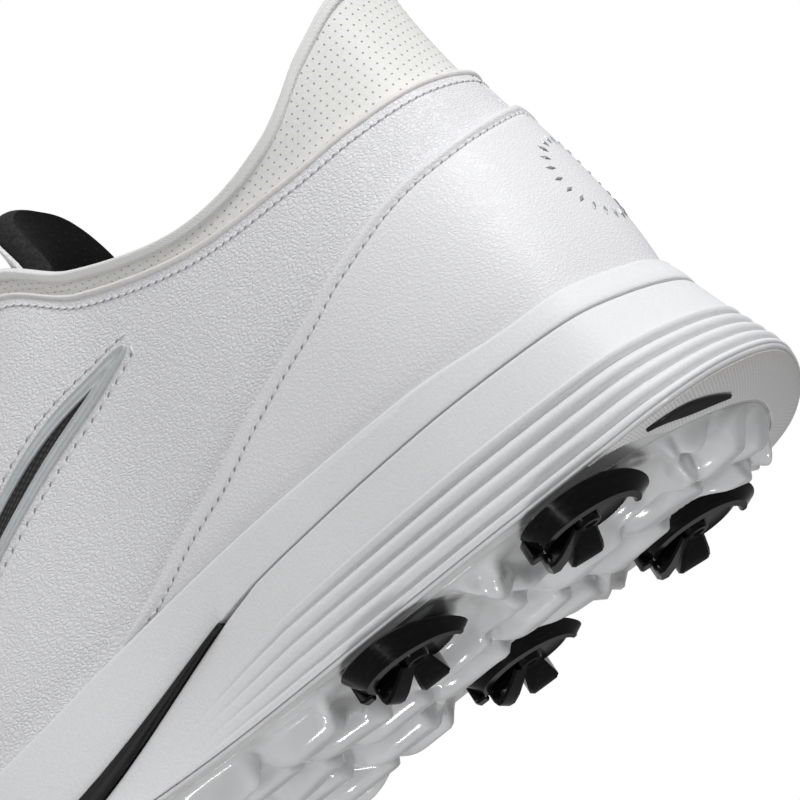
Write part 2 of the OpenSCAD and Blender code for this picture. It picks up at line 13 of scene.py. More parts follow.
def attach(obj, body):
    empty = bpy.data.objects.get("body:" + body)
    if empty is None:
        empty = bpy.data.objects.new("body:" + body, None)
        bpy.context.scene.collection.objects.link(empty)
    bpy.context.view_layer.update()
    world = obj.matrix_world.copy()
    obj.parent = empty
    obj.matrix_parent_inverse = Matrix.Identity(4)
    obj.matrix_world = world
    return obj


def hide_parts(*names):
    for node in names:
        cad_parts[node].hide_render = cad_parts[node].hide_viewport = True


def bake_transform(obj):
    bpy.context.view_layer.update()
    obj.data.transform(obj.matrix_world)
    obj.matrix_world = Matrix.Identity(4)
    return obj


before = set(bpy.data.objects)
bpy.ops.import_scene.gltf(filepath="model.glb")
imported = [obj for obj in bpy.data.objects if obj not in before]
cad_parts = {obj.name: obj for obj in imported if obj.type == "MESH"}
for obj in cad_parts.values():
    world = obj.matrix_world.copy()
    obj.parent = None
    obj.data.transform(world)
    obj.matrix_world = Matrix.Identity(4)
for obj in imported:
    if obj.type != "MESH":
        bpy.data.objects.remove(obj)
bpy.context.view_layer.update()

MM = 0.001

# ---------------------------------------------------------------- driving sizes, as in the CAD
RIM_T = 2.2
HEEL_FLARE = 10.0
TUCK = 6.0
CUP = 8.0
LEATHER_T = 1.2
LINING_T = 0.9
COLLAR_PAD = 5.2
COLLAR_RISE = 28.0
GAP = 0.25
GROOVES = 4
GROOVE_DEPTH = 0.9
WEDGE_REACH = 6.35
SPIKE_D = 20.0
WING_REACH = 16.5
EYELETS = 6
EYELET_V = 0.93
HOLE_D = 4.6
TONGUE_W = 19.6

FOOT = np.array([
    [0, 130.2], [19.8, 123.4], [29.1, 114.2], [34.2, 92], [34, 60], [34, 20], [42, -20], [48, -55],
    [45, -90], [34, -114], [14, -133], [-6, -138], [-28, -130], [-44, -106], [-49, -75], [-48, -45],
    [-38, -5], [-29, 30], [-29, 65], [-32.2, 92], [-28.1, 114.2], [-19.8, 123.4]])
TOP = np.array([
    [0, 123, 94.5], [15, 117.2, 94.2], [24, 104.5, 92.8], [28, 89, 91.4], [28.5, 65, 92.8],
    [25, 41, 101.5], [21, 22, 113.5], [17, -5, 101], [13.5, -28, 87], [10, -44, 78], [5, -50, 74],
    [0, -52, 73], [-5, -50, 74], [-10, -44, 78], [-13.5, -28, 87], [-17, -5, 101],
    [-21, 22, 113.5], [-25, 41, 101.5], [-28, 65, 92.8], [-27.5, 89, 91.4], [-23.5, 104.5, 92.8],
    [-15, 117.2, 94.2]])
RIM = [[-150, 36], [-110, 28.5], [-75, 26.5], [-40, 28.5], [-12, 32.6], [12, 37.2], [35, 40],
       [60, 41.2], [92, 41.4], [110, 40.6], [125, 42], [150, 44]]
SEAM = [[-150, 22], [-110, 13.5], [-75, 11], [-60, 10.8], [-40, 12.2], [-8, 17.5], [35, 29.8],
        [62, 32.8], [88, 34], [118, 35], [150, 37.3]]
EDGE = [[-150, 21], [-110, 12.5], [-75, 10], [-40, 9.4], [10, 9.1], [60, 9.2], [100, 9.5],
        [128, 11.5], [150, 17.4]]
BASE = [[-150, 18], [-118, 10.5], [-90, 8.1], [-75, 8], [105, 8], [125, 8.3], [150, 11]]
SHANK = [[-58, 0.3], [-40, 1.8], [-15, 3.8], [0, 3.4], [20, 1.8], [42, 0.3]]
BELLY = [[0, [3, 18, 4, -18]], [3, [2.5, 18, 5, -18]], [5, [1.5, 20, 7, -20]],
         [7, [1.5, 18, 14, -14]], [9, [3, 24, 26, -12]], [11, [8, 30, 48, -12]]]
RISE = [[0, 1], [1, 0.92], [2, 0.69], [2.6, 0.49], [3, 0.36], [3.5, 0.24], [4, 0.19], [4.6, 0.18],
        [5.4, 0.2], [6.2, 0.19]]
OVERLAY = [[0, 0.805], [0.77, 0.755], [1.45, 0.725], [2.03, 0.705], [2.53, 0.67], [3.1, 0.595],
           [3.48, 0.515], [3.82, 0.445], [4.12, 0.37], [4.4, 0.285], [4.68, 0.22], [4.93, 0.155],
           [5.2, 0.1]]
TONGUE = [[0, [-60, 66]], [0.35, [-25, 82]], [0.72, [12, 104]], [0.88, [24, 115.5]], [1, [28, 131]]]
SPIKES = np.array([[26.5, 101.5], [-26.5, 101.5], [26.5, 59], [-26.5, 59], [29, -28], [-27, -22],
                   [31, -72], [-31, -66], [-3, -106]])
TURNS = [20, 20, -5, 0, 20, 200, 20, 200, 80]


# ---------------------------------------------------------------- curves and surfaces
def lerp(a, b, t):
    return a + (b - a) * t


def smooth(x, lo, hi):
    t = np.clip((np.asarray(x, float) - lo) / (hi - lo), 0, 1)
    return t * t * (3 - 2 * t)


def unit(v):
    return v / np.linalg.norm(v, axis=-1, keepdims=True)


def key(table, x):
    """Smooth curve through keys, flat outside their range."""
    xs = np.array([k[0] for k in table], float)
    ys = np.array([k[1] for k in table], float)
    flat = ys.ndim == 1
    ys = ys[:, None] if flat else ys
    n = len(xs)
    after = np.minimum(np.arange(n) + 1, n - 1)
    before = np.maximum(np.arange(n) - 1, 0)
    m = (ys[after] - ys[before]) / (xs[after] - xs[before])[:, None]
    x = np.clip(np.asarray(x, float), xs[0], xs[-1])
    i = np.clip(np.searchsorted(xs, x, side="right") - 1, 0, n - 2)
    w = (xs[i + 1] - xs[i])[..., None]
    t = ((x - xs[i]) / w[..., 0])[..., None]
    r = (ys[i] * (2 * t**3 - 3 * t**2 + 1) + w * m[i] * (t**3 - 2 * t**2 + t)
         + ys[i + 1] * (3 * t**2 - 2 * t**3) + w * m[i + 1] * (t**3 - t**2))
    return r[..., 0] if flat else r


def loop_at(p, u):
    """Closed smooth curve through a loop of points."""
    u = np.asarray(u, float)
    n = len(p)
    i = np.floor(u).astype(int)
    t = (u - i)[..., None]
    a, b, c, d = p[(i - 1) % n], p[i % n], p[(i + 1) % n], p[(i + 2) % n]
    return (b * (2 * t**3 - 3 * t**2 + 1) + (c - a) / 2 * (t**3 - 2 * t**2 + t)
            + c * (3 * t**2 - 2 * t**3) + (d - b) / 2 * (t**3 - t**2))


def foot(u):
    return loop_at(FOOT, u)


def outward(u):
    t = unit(foot(np.asarray(u) + 0.02) - foot(np.asarray(u) - 0.02))
    return np.stack([-t[..., 1], t[..., 0]], -1)


def beside(u, d):
    return foot(u) + outward(u) * np.asarray(d)[..., None]


def from_heel(u):
    m = np.mod(u, 22.0)
    return np.minimum(m, 22 - m)


def flare(u):
    h = from_heel(u)
    return HEEL_FLARE * lerp(0.34, 1, 1 - smooth(h, 0.6, 3)) * (1 - 0.35 * smooth(h, 5, 9))


def side_d(u, f):
    return RIM_T + 0.9 + flare(u) * f


def rim_z(y):
    return key(RIM, y)


def flat3(n):
    return np.concatenate([n, np.zeros(n.shape[:-1] + (1,))], -1)


UP = np.array([0, 0, 1.0])


def leather(u, v):
    n3 = flat3(outward(u))
    k = key(BELLY, from_heel(u))
    p = foot(u)
    low = np.concatenate([p, (rim_z(p[..., 1]) - TUCK)[..., None]], -1)
    top = loop_at(TOP, u)
    b = low + n3 * k[..., 0:1] + UP * k[..., 1:2]
    c = top + n3 * k[..., 2:3] + UP * k[..., 3:4]
    v = v[..., None]
    return low * (1 - v)**3 + b * 3 * v * (1 - v)**2 + c * 3 * v**2 * (1 - v) + top * v**3


def collar(u, w):
    n3 = flat3(outward(u))
    rise = (COLLAR_RISE * key(RISE, from_heel(u)))[..., None]
    w = w[..., None]
    return loop_at(TOP, u) + rise * (w * UP + (0.1 * w**2 - 0.22 * w) * n3)


def skin(u, v):
    u, v = np.broadcast_arrays(np.asarray(u, float), np.asarray(v, float))
    return np.where((v <= 1)[..., None], leather(u, np.minimum(v, 1)), collar(u, np.maximum(v - 1, 0)))


def skin_normal(u, v):
    u, v = np.broadcast_arrays(np.asarray(u, float), np.asarray(v, float))
    a = np.where(v > 1, np.maximum(v - 0.02, 1), v - 0.02)
    b = np.where(v > 1, v + 0.02, np.minimum(v + 0.02, 1))
    return unit(np.cross(skin(u, b) - skin(u, a), skin(u + 0.02, v) - skin(u - 0.02, v)))


def on_skin(u, v, d):
    return skin(u, v) + skin_normal(u, v) * np.broadcast_to(d, np.shape(u))[..., None]


def stiff(u, v):
    h = from_heel(u)
    return (1 - smooth(v, 0.45, 0.6)) * (1 - smooth(h, 3.4, 4.4) + smooth(h, 8.2, 9))


def padded_share(u, v):
    return smooth(v, 0.6, 0.95) * (1 - smooth(from_heel(u), 3.6, 4.7))


def under_panel(u, v):
    return smooth(v, 0.8, 0.92) * (1 - smooth(from_heel(u), 6.1, 6.6))


def lining_depth(u, v):
    return (LEATHER_T + 0.6 + 1.2 * stiff(u, v) + (COLLAR_PAD + 1) * padded_share(u, v)
            + 1.1 * under_panel(u, v))


def vamp_seam(v):
    return lerp(8.1, 9.45, v)


# ---------------------------------------------------------------- meshes
def turned_out(verts, faces):
    """The faces, all turned round if the closed shape they make is inside out."""
    by_size = {}
    for f in faces:
        by_size.setdefault(len(f), []).append(f)
    volume = 0.0
    for size, same in by_size.items():
        p = np.asarray(verts)[np.array(same)]
        for i in range(1, size - 1):
            volume += np.einsum("ij,ij->", p[:, 0], np.cross(p[:, i], p[:, i + 1]))
    return faces if volume > 0 else [f[::-1] for f in faces]


def make(name, verts, faces, material, slot, body="shoe", nodes=(), uv=None, sharp=40):
    """A piece from points in millimetres; uv is in metres along the surface."""
    mesh = bpy.data.meshes.new(name)
    mesh.from_pydata((np.asarray(verts) * MM).tolist(), [], faces)
    mesh.polygons.foreach_set("use_smooth", [True] * len(mesh.polygons))
    if uv is not None:
        corner = np.zeros(len(mesh.loops), int)
        mesh.loops.foreach_get("vertex_index", corner)
        layer = mesh.uv_layers.new(name="surface")
        layer.uv.foreach_set("vector", (uv[corner] * MM).astype(np.float32).ravel())
    mesh.set_sharp_from_angle(angle=math.radians(sharp))
    mesh.materials.append(material)
    piece = bpy.data.objects.new(name, mesh)
    bpy.context.scene.collection.objects.link(piece)
    if body:
        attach(piece, body)
    if nodes:
        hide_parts(*nodes)
    return piece


def shell_faces(n, m):
    """Faces of a closed sheet: its outer grid of n by m points, its inner grid, and its rim."""
    faces = []
    for i in range(n - 1):
        for j in range(m - 1):
            a = i * m + j
            faces.append((a, a + 1, a + m + 1, a + m))
            a += n * m
            faces.append((a, a + m, a + m + 1, a + 1))
    border = ([i * m for i in range(n)] + [(n - 1) * m + j for j in range(1, m)]
              + [i * m + m - 1 for i in range(n - 2, -1, -1)] + [j for j in range(m - 2, 0, -1)])
    for k, a in enumerate(border):
        b = border[(k + 1) % len(border)]
        faces.append((a, b, b + n * m, a + n * m))
    return faces


def edge_steps(n, length, roll):
    """n or so steps from 0 to 1, with extra ones where an edge of that length in mm rolls over."""
    rim = np.minimum(np.array([0, 0.06, 0.2, 0.45, 0.75, 1.0]) * roll / length, 0.4)
    return np.concatenate([rim, np.linspace(rim[-1], 1 - rim[-1], n + 1)[1:-1], 1 - rim[::-1]])


def patch(surf, ns, nt, low, high, roll=0.6):
    """Points, faces and uv of a sheet of material with rolled edges: surf(s, t, depth) gives its
    points, low and high the depths of its two faces, as numbers or functions of s and t."""
    def depth(d, s, t):
        return d(s, t) if callable(d) else np.full(np.shape(s), float(d))
    s0, t0 = np.meshgrid(np.linspace(0, 1, ns + 1), np.linspace(0, 1, nt + 1), indexing="ij")
    rough = surf(s0, t0, depth(high, s0, t0))
    length_s = np.linalg.norm(np.diff(rough, axis=0), axis=-1).sum(0).mean()
    length_t = np.maximum(np.linalg.norm(np.diff(rough, axis=1), axis=-1).sum(1), 0.05)
    s_row = edge_steps(ns, length_s, roll)
    lt = np.interp(s_row, s0[:, 0], length_t)
    t = np.array([edge_steps(nt, length, roll) for length in lt])
    s = np.repeat(s_row[:, None], t.shape[1], axis=1)
    across = lt[:, None] * np.minimum(t, 1 - t)
    along = length_s * np.minimum(s, 1 - s)
    d = np.clip(roll - np.minimum(across, along), 0, roll)
    drop = roll - np.sqrt(roll**2 - d**2)
    outer = surf(s, t, depth(high, s, t) - drop)
    inner = surf(s, t, depth(low, s, t))
    n, m = s.shape
    verts = np.concatenate([outer.reshape(-1, 3), inner.reshape(-1, 3)])
    run = np.concatenate([[0], np.cumsum(np.linalg.norm(np.diff(outer[:, m // 2], axis=0), axis=-1))])
    grid = np.stack([np.repeat(run[:, None], m, axis=1), t * lt[:, None]], -1).reshape(-1, 2)
    return verts, turned_out(verts, shell_faces(n, m)), np.concatenate([grid, grid])


def on_place(place):
    """surf for patch() from a function that gives u and v for s and t."""
    def surf(s, t, d):
        u, v = place(s, t)
        return on_skin(u, v, d)
    return surf


def loft(rings):
    """Points and faces of a closed solid through rings, each mirrored left and right of its middle."""
    n = len(rings[0])
    verts = np.concatenate(rings)
    faces = []
    for r in range(len(rings) - 1):
        for i in range(n):
            a, b = r * n + i, r * n + (i + 1) % n
            faces.append((a, b, b + n, a + n))
    top = (len(rings) - 1) * n
    for i in range(n // 2 - 1):
        faces.append((i, n - 1 - i, n - 2 - i, i + 1))
        faces.append((top + i, top + i + 1, top + n - 2 - i, top + n - 1 - i))
    return verts, turned_out(verts, faces)


FINE = 22
WHOLE = -11 + (np.arange(22 * FINE) + 0.5) / FINE


def ring(us, d, z):
    p = beside(us, d(us))
    return np.concatenate([p, z(us, p[:, 1])[:, None]], -1)


def lathe(profile, sides=64):
    """Points and faces of a closed turned shape from its radius and height pairs."""
    a = np.linspace(0, 2 * np.pi, sides, endpoint=False)
    profile = np.asarray(profile, float)
    body = profile[(profile[:, 0] > 0)]
    verts = [[0, 0, profile[0, 1]], [0, 0, profile[-1, 1]]]
    for r, z in body:
        verts += [[r * math.cos(x), r * math.sin(x), z] for x in a]
    faces = []
    last = 2 + (len(body) - 1) * sides
    for i in range(sides):
        j = (i + 1) % sides
        faces.append((0, 2 + j, 2 + i))
        faces.append((1, last + i, last + j))
        for k in range(len(body) - 1):
            b = 2 + k * sides
            faces.append((b + i, b + j, b + j + sides, b + i + sides))
    verts = np.array(verts)
    return verts, turned_out(verts, faces)


def sweep(sections):
    """Points and faces of a closed shape through outlines of equal length."""
    n = len(sections[0])
    verts = np.concatenate(sections)
    faces = [tuple(range(n))[::-1], tuple((len(sections) - 1) * n + i for i in range(n))]
    for r in range(len(sections) - 1):
        for i in range(n):
            a, b = r * n + i, r * n + (i + 1) % n
            faces.append((a, b, b + n, a + n))
    return verts, turned_out(verts, faces)


def turned(verts, degrees):
    """The points turned about the upright axis."""
    c, s = math.cos(math.radians(degrees)), math.sin(math.radians(degrees))
    return verts @ np.array([[c, -s, 0], [s, c, 0], [0, 0, 1]]).T


def joined(shapes):
    verts, faces, start = [], [], 0
    for v, f in shapes:
        verts.append(v)
        faces += [tuple(i + start for i in face) for face in f]
        start += len(v)
    return np.concatenate(verts), faces


# ---------------------------------------------------------------- materials
class Look:
    """A Principled material and the few node helpers its builders need."""

    def __init__(self, name, colour, rough, **sockets):
        self.material = bpy.data.materials.new(name)
        self.material.use_nodes = True
        self.tree = self.material.node_tree
        self.shader = self.tree.nodes["Principled BSDF"]
        self.set(self.shader, "Base Color", (*colour, 1))
        self.set(self.shader, "Roughness", rough)
        for socket, value in sockets.items():
            self.set(self.shader, socket.replace("_", " "), value)
        self.last_bump = None

    def set(self, node, socket, value):
        node.inputs[socket].default_value = value

    def link(self, out, node, socket):
        self.tree.links.new(out, node.inputs[socket])

    def add(self, kind, **settings):
        node = self.tree.nodes.new(kind)
        for k, v in settings.items():
            setattr(node, k, v)
        return node

    def coords(self, scale=(1, 1, 1), uv=False, turn=0.0):
        """Coordinates in metres, stretched by scale: along the surface or in the object's frame."""
        source = self.add("ShaderNodeTexCoord")
        mapping = self.add("ShaderNodeMapping")
        mapping.inputs["Scale"].default_value = scale
        mapping.inputs["Rotation"].default_value = (0, 0, turn)
        self.link(source.outputs["UV" if uv else "Object"], mapping, "Vector")
        return mapping.outputs["Vector"]

    def noise(self, vector, scale, detail=3.0, rough=0.5, distortion=0.0):
        n = self.add("ShaderNodeTexNoise")
        self.link(vector, n, "Vector")
        self.set(n, "Scale", scale)
        self.set(n, "Detail", detail)
        self.set(n, "Roughness", rough)
        self.set(n, "Distortion", distortion)
        return n.outputs["Fac"]

    def cells(self, vector, scale, feature="F1", randomness=1.0, dims="3D"):
        n = self.add("ShaderNodeTexVoronoi", feature=feature, voronoi_dimensions=dims)
        self.link(vector, n, "Vector")
        self.set(n, "Scale", scale)
        self.set(n, "Randomness", randomness)
        return n.outputs["Distance"]

    def wave(self, vector, pitch_mm, direction="X"):
        """Soft bands for threads of that pitch; they come out about twice as far apart."""
        n = self.add("ShaderNodeTexWave", bands_direction=direction, wave_profile="SIN")
        self.link(vector, n, "Vector")
        self.set(n, "Scale", 1000 / pitch_mm / 6.28)
        self.set(n, "Distortion", 0.0)
        return n.outputs["Fac"]

    def math(self, op, a, b=0.0):
        n = self.add("ShaderNodeMath", operation=op)
        for i, x in enumerate((a, b)):
            if isinstance(x, (int, float)):
                n.inputs[i].default_value = x
            else:
                self.tree.links.new(x, n.inputs[i])
        return n.outputs[0]

    def ramp(self, value, lo, hi, a=0.0, b=1.0):
        n = self.add("ShaderNodeMapRange", interpolation_type="SMOOTHSTEP")
        self.link(value, n, "Value")
        self.set(n, "From Min", lo)
        self.set(n, "From Max", hi)
        self.set(n, "To Min", a)
        self.set(n, "To Max", b)
        return n.outputs["Result"]

    def mix(self, factor, a, b):
        n = self.add("ShaderNodeMix", data_type="RGBA")
        self.link(factor, n, "Factor")
        n.inputs[6].default_value = (*a, 1)
        if isinstance(b, tuple):
            n.inputs[7].default_value = (*b, 1)
        else:
            self.tree.links.new(b, n.inputs[7])
        return n.outputs[2]

    def colour(self, out):
        self.link(out, self.shader, "Base Color")

    def rough(self, value, lo, hi):
        self.link(self.ramp(value, 0.3, 0.7, lo, hi), self.shader, "Roughness")

    def bump(self, height, depth_mm, strength=1.0):
        n = self.add("ShaderNodeBump")
        self.set(n, "Strength", strength)
        self.set(n, "Distance", depth_mm * MM)
        self.link(height, n, "Height")
        if self.last_bump is not None:
            self.link(self.last_bump, n, "Normal")
        self.last_bump = n.outputs["Normal"]
        self.link(self.last_bump, self.shader, "Normal")


def tinted(colour, share):
    return tuple(c * share for c in colour)


def leather_look(name, colour, grain):
    """White full-grain leather: flat pebbles under a millimetre across with creases between."""
    look = Look(name, colour, 0.42, Specular_IOR_Level=0.45, Sheen_Weight=0.05)
    xyz = look.coords((1, 0.8, 1.2))
    wander = look.add("ShaderNodeVectorMath", operation="ADD")
    push = look.add("ShaderNodeTexNoise")
    look.link(xyz, push, "Vector")
    look.set(push, "Scale", 420)
    scaled = look.add("ShaderNodeVectorMath", operation="SCALE")
    look.link(push.outputs["Color"], scaled, "Vector")
    look.set(scaled, "Scale", 0.0009)
    look.tree.links.new(xyz, wander.inputs[0])
    look.tree.links.new(scaled.outputs[0], wander.inputs[1])
    moved = wander.outputs[0]
    pebble = look.ramp(look.cells(moved, 1150, feature="DISTANCE_TO_EDGE"), 0.0, 0.3)
    small = look.ramp(look.cells(moved, 2100, feature="DISTANCE_TO_EDGE"), 0.0, 0.3)
    slow = look.noise(xyz, 90, 3, 0.5)
    look.bump(slow, 0.25, 0.25 * grain)
    look.bump(pebble, 0.11, 0.9 * grain)
    look.bump(small, 0.03, 0.25 * grain)
    look.bump(look.noise(xyz, 4200, 2, 0.6), 0.015, 0.4)
    look.colour(look.mix(pebble, tinted(colour, 1 - 0.05 * grain), colour))
    look.rough(slow, 0.38, 0.5)
    return look.material


def foam_look(name, colour):
    """Moulded foam with a fine stipple."""
    look = Look(name, colour, 0.55, Specular_IOR_Level=0.4)
    xyz = look.coords()
    stipple = look.noise(xyz, 1900, 3, 0.65, 0.4)
    look.bump(stipple, 0.12, 0.75)
    look.bump(look.noise(xyz, 35, 2), 0.3, 0.12)
    look.colour(look.mix(look.ramp(stipple, 0.35, 0.65), tinted(colour, 0.955), colour))
    look.rough(stipple, 0.5, 0.62)
    return look.material


def tpu_look(name, colour):
    """Glossy milky plastic of the tread."""
    look = Look(name, colour, 0.14, Coat_Weight=0.6, Coat_Roughness=0.04, Subsurface_Weight=0.35,
                Subsurface_Scale=0.004, Specular_IOR_Level=0.6)
    look.set(look.shader, "Subsurface Radius", (1.0, 1.0, 1.0))
    xyz = look.coords()
    flow = look.noise(xyz, 55, 3, 0.5, 1.5)
    look.bump(flow, 0.35, 0.12)
    look.bump(look.noise(xyz, 900, 2), 0.02, 0.4)
    look.colour(look.mix(look.ramp(flow, 0.3, 0.7), tinted(colour, 0.86), colour))
    look.rough(flow, 0.1, 0.2)
    return look.material


def knurl_look(name, colour, tone):
    """Sloping border of the outsole: a fine grid of dots, warmer near its outer edge."""
    look = Look(name, colour, 0.5, Specular_IOR_Level=0.4)
    uv = look.coords(uv=True, turn=0.6)
    weave = look.ramp(look.cells(uv, 1250, randomness=0.0, dims="2D"), 0.15, 0.5)
    look.bump(weave, 0.15, 0.6)
    far = look.add("ShaderNodeSeparateXYZ")
    look.link(look.coords(uv=True), far, "Vector")
    warm = look.math("MULTIPLY", look.ramp(far.outputs["Y"], 0.0105, 0.0065, 1, 0),
                     look.ramp(far.outputs["Y"], 0.002, 0.0065, 0.3, 1))
    shade = look.mix(look.ramp(weave, 0.1, 0.7), tinted(colour, 0.88), colour)
    n = look.add("ShaderNodeMix", data_type="RGBA")
    look.link(look.math("MULTIPLY", warm, 0.35), n, "Factor")
    look.tree.links.new(shade, n.inputs[6])
    n.inputs[7].default_value = (*tone, 1)
    look.colour(n.outputs[2])
    look.rough(weave, 0.42, 0.58)
    return look.material


def gloss_look(name, colour, rough, grain=0.02):
    """Hard black plastic, polished, with faint handling marks."""
    look = Look(name, colour, rough, Coat_Weight=0.15, Coat_Roughness=0.03, Specular_IOR_Level=0.25)
    xyz = look.coords()
    marks = look.noise(look.coords((1, 1, 6)), 420, 4, 0.7)
    look.bump(look.noise(xyz, 160, 2), grain * 4, 0.4)
    look.bump(marks, grain, 0.5)
    worn = tuple(c * 1.6 + 0.004 for c in colour)
    look.colour(look.mix(look.ramp(marks, 0.45, 0.75), colour, worn))
    look.rough(marks, rough * 0.8, rough * 1.8)
    return look.material


def perforated_look(name, colour, pitch_mm, hole_mm, dark, shine=0.4, sheen=0.1):
    """Soft synthetic with rows of small round holes."""
    look = Look(name, colour, 0.5, Specular_IOR_Level=shine, Sheen_Weight=sheen)
    uv = look.coords(uv=True, turn=0.25)
    xyz = look.coords()
    dist = look.cells(uv, 1000 / pitch_mm, randomness=0.0, dims="2D")
    hole = look.ramp(dist, hole_mm / pitch_mm * 0.36, hole_mm / pitch_mm * 0.62)
    grain = look.noise(xyz, 1300, 3, 0.6, 0.5)
    look.bump(grain, 0.10, 0.6)
    look.bump(hole, 0.35, 0.8)
    base = look.mix(look.ramp(grain, 0.35, 0.65), tinted(colour, 0.95), colour)
    look.colour(look.mix(hole, dark, base))
    look.rough(grain, 0.45, 0.6)
    return look.material


def twill_look(name, colour, pitch_mm, depth_mm, dark=0.8):
    """Knitted or woven cloth with a herringbone of slanted ribs."""
    look = Look(name, colour, 0.75, Sheen_Weight=0.25, Specular_IOR_Level=0.25)
    a = look.wave(look.coords(uv=True, turn=0.8), pitch_mm)
    b = look.wave(look.coords(uv=True, turn=-0.8), pitch_mm)
    rows = look.wave(look.coords(uv=True), pitch_mm * 2.6, "Y")
    side = look.ramp(rows, 0.45, 0.55)
    ribs = look.math("ADD", look.math("MULTIPLY", a, side),
                     look.math("MULTIPLY", b, look.math("SUBTRACT", 1.0, side)))
    fuzz = look.noise(look.coords(), 2600, 3, 0.6)
    look.bump(ribs, depth_mm, 0.8)
    look.bump(fuzz, 0.06, 0.5)
    look.colour(look.mix(ribs, tinted(colour, dark), colour))
    look.rough(fuzz, 0.68, 0.85)
    return look.material


def mesh_look(name, colour, pitch_mm, light):
    """Woven mesh: a basket of threads with the light catching their tops."""
    look = Look(name, colour, 0.55, Sheen_Weight=0.2, Specular_IOR_Level=0.5)
    a = look.wave(look.coords(uv=True, turn=0.1), pitch_mm)
    b = look.wave(look.coords(uv=True, turn=0.1), pitch_mm / 0.8, "Y")
    weave = look.math("MULTIPLY", a, b)
    look.bump(weave, 0.3, 0.9)
    look.colour(look.mix(look.ramp(weave, 0.88, 1.0), colour, light))
    look.rough(weave, 0.45, 0.7)
    return look.material


def plain_look(name, colour, rough, scale=700, depth=0.05, **sockets):
    """Smooth moulded or coated surface with a faint grain."""
    look = Look(name, colour, rough, **sockets)
    xyz = look.coords()
    grain = look.noise(xyz, scale, 3, 0.6)
    look.bump(grain, depth, 0.6)
    look.colour(look.mix(look.ramp(grain, 0.35, 0.65), tinted(colour, 0.93), colour))
    look.rough(grain, rough * 0.9, min(rough * 1.2, 1))
    return look.material


WHITE_LEATHER = leather_look("white_leather", (0.80, 0.80, 0.825), 1.0)
OVERLAY_LEATHER = leather_look("overlay_leather", (0.81, 0.81, 0.83), 0.55)
RAW_EDGE = plain_look("raw_edge", (0.80, 0.79, 0.77), 0.5, 900, 0.05)
MIDSOLE = foam_look("midsole", (0.80, 0.805, 0.815))
TREAD = tpu_look("tread", (0.77, 0.775, 0.785))
KNURL = knurl_look("knurl", (0.74, 0.74, 0.74), (0.62, 0.57, 0.52))
SPIKE_BLACK = gloss_look("spike_black", (0.003, 0.003, 0.0035), 0.1)
SHANK_BLACK = gloss_look("shank_black", (0.012, 0.012, 0.013), 0.25, 0.05)
INLAY_BLACK = gloss_look("inlay_black", (0.014, 0.014, 0.015), 0.3, 0.05)
COLLAR = perforated_look("collar", (0.78, 0.778, 0.762), 1.9, 0.4, (0.42, 0.37, 0.29))
KNIT = twill_look("knit", (0.78, 0.777, 0.765), 0.35, 0.05, 0.97)
LINING = perforated_look("lining", (0.70, 0.70, 0.69), 1.6, 0.6, (0.4, 0.4, 0.4))
TONGUE_CLOTH = perforated_look("tongue_cloth", (0.003, 0.003, 0.0033), 3.4, 0.45,
                               (0.03, 0.028, 0.02), 0.05, 0.0)
TONGUE_EDGE = plain_look("tongue_edge", (0.005, 0.005, 0.0055), 0.8, 1500, 0.08)
SOCK_CLOTH = twill_look("sock_cloth", (0.10, 0.10, 0.105), 0.9, 0.2, 0.5)
LACE_CLOTH = twill_look("lace_cloth", (0.80, 0.80, 0.79), 0.9, 0.3)
WINDOW_MESH = mesh_look("window_mesh", (0.0025, 0.0025, 0.003), 0.6, (0.10, 0.10, 0.105))
GREY_TRIM = plain_look("grey_trim", (0.55, 0.57, 0.58), 0.38, 800, 0.04, Coat_Weight=0.2)
THREAD = plain_look("thread", (0.74, 0.74, 0.745), 0.6, 3000, 0.05, Sheen_Weight=0.2)
# Grey of the needle holes between stitches: painted shadow at the stitches' ends.
NEEDLE_HOLE_SHADOW = plain_look("needle_hole_shadow", (0.30, 0.30, 0.31), 0.8)
EYELET_METAL = plain_look("eyelet_metal", (0.62, 0.63, 0.64), 0.3, 600, 0.02, Metallic=0.85)
FOAM = plain_look("foam", (0.80, 0.74, 0.52), 0.9, 500, 0.3)
BOARD = plain_look("board", (0.62, 0.55, 0.43), 0.85, 400, 0.15)
STIFFENER = plain_look("stiffener", (0.66, 0.62, 0.55), 0.7)
SOCKET = plain_look("socket", (0.66, 0.66, 0.66), 0.4)
STUD_GREY = plain_look("stud_grey", (0.42, 0.43, 0.45), 0.3, 900, 0.03, Metallic=0.5)


# ---------------------------------------------------------------- sole
def groove_profile(share):
    """Depth of the wedge's side at a share of its height: grooves with round ribs between them."""
    x = (share - 0.05) / 0.14
    inside = (x > -0.25) & (x < GROOVES - 0.2)
    phase = x - np.floor(x) - 0.24
    rib = 0.28 * np.cos(2 * np.pi * phase) * smooth(x, -0.2, 0.3)
    return np.where(inside, np.exp(-(phase / 0.11)**2) + rib, 0.0)


def rim_foot(u):
    """Offset of the rim's lower edge."""
    return side_d(u, 0.2 + 0.25 * smooth(from_heel(u), 4, 7))


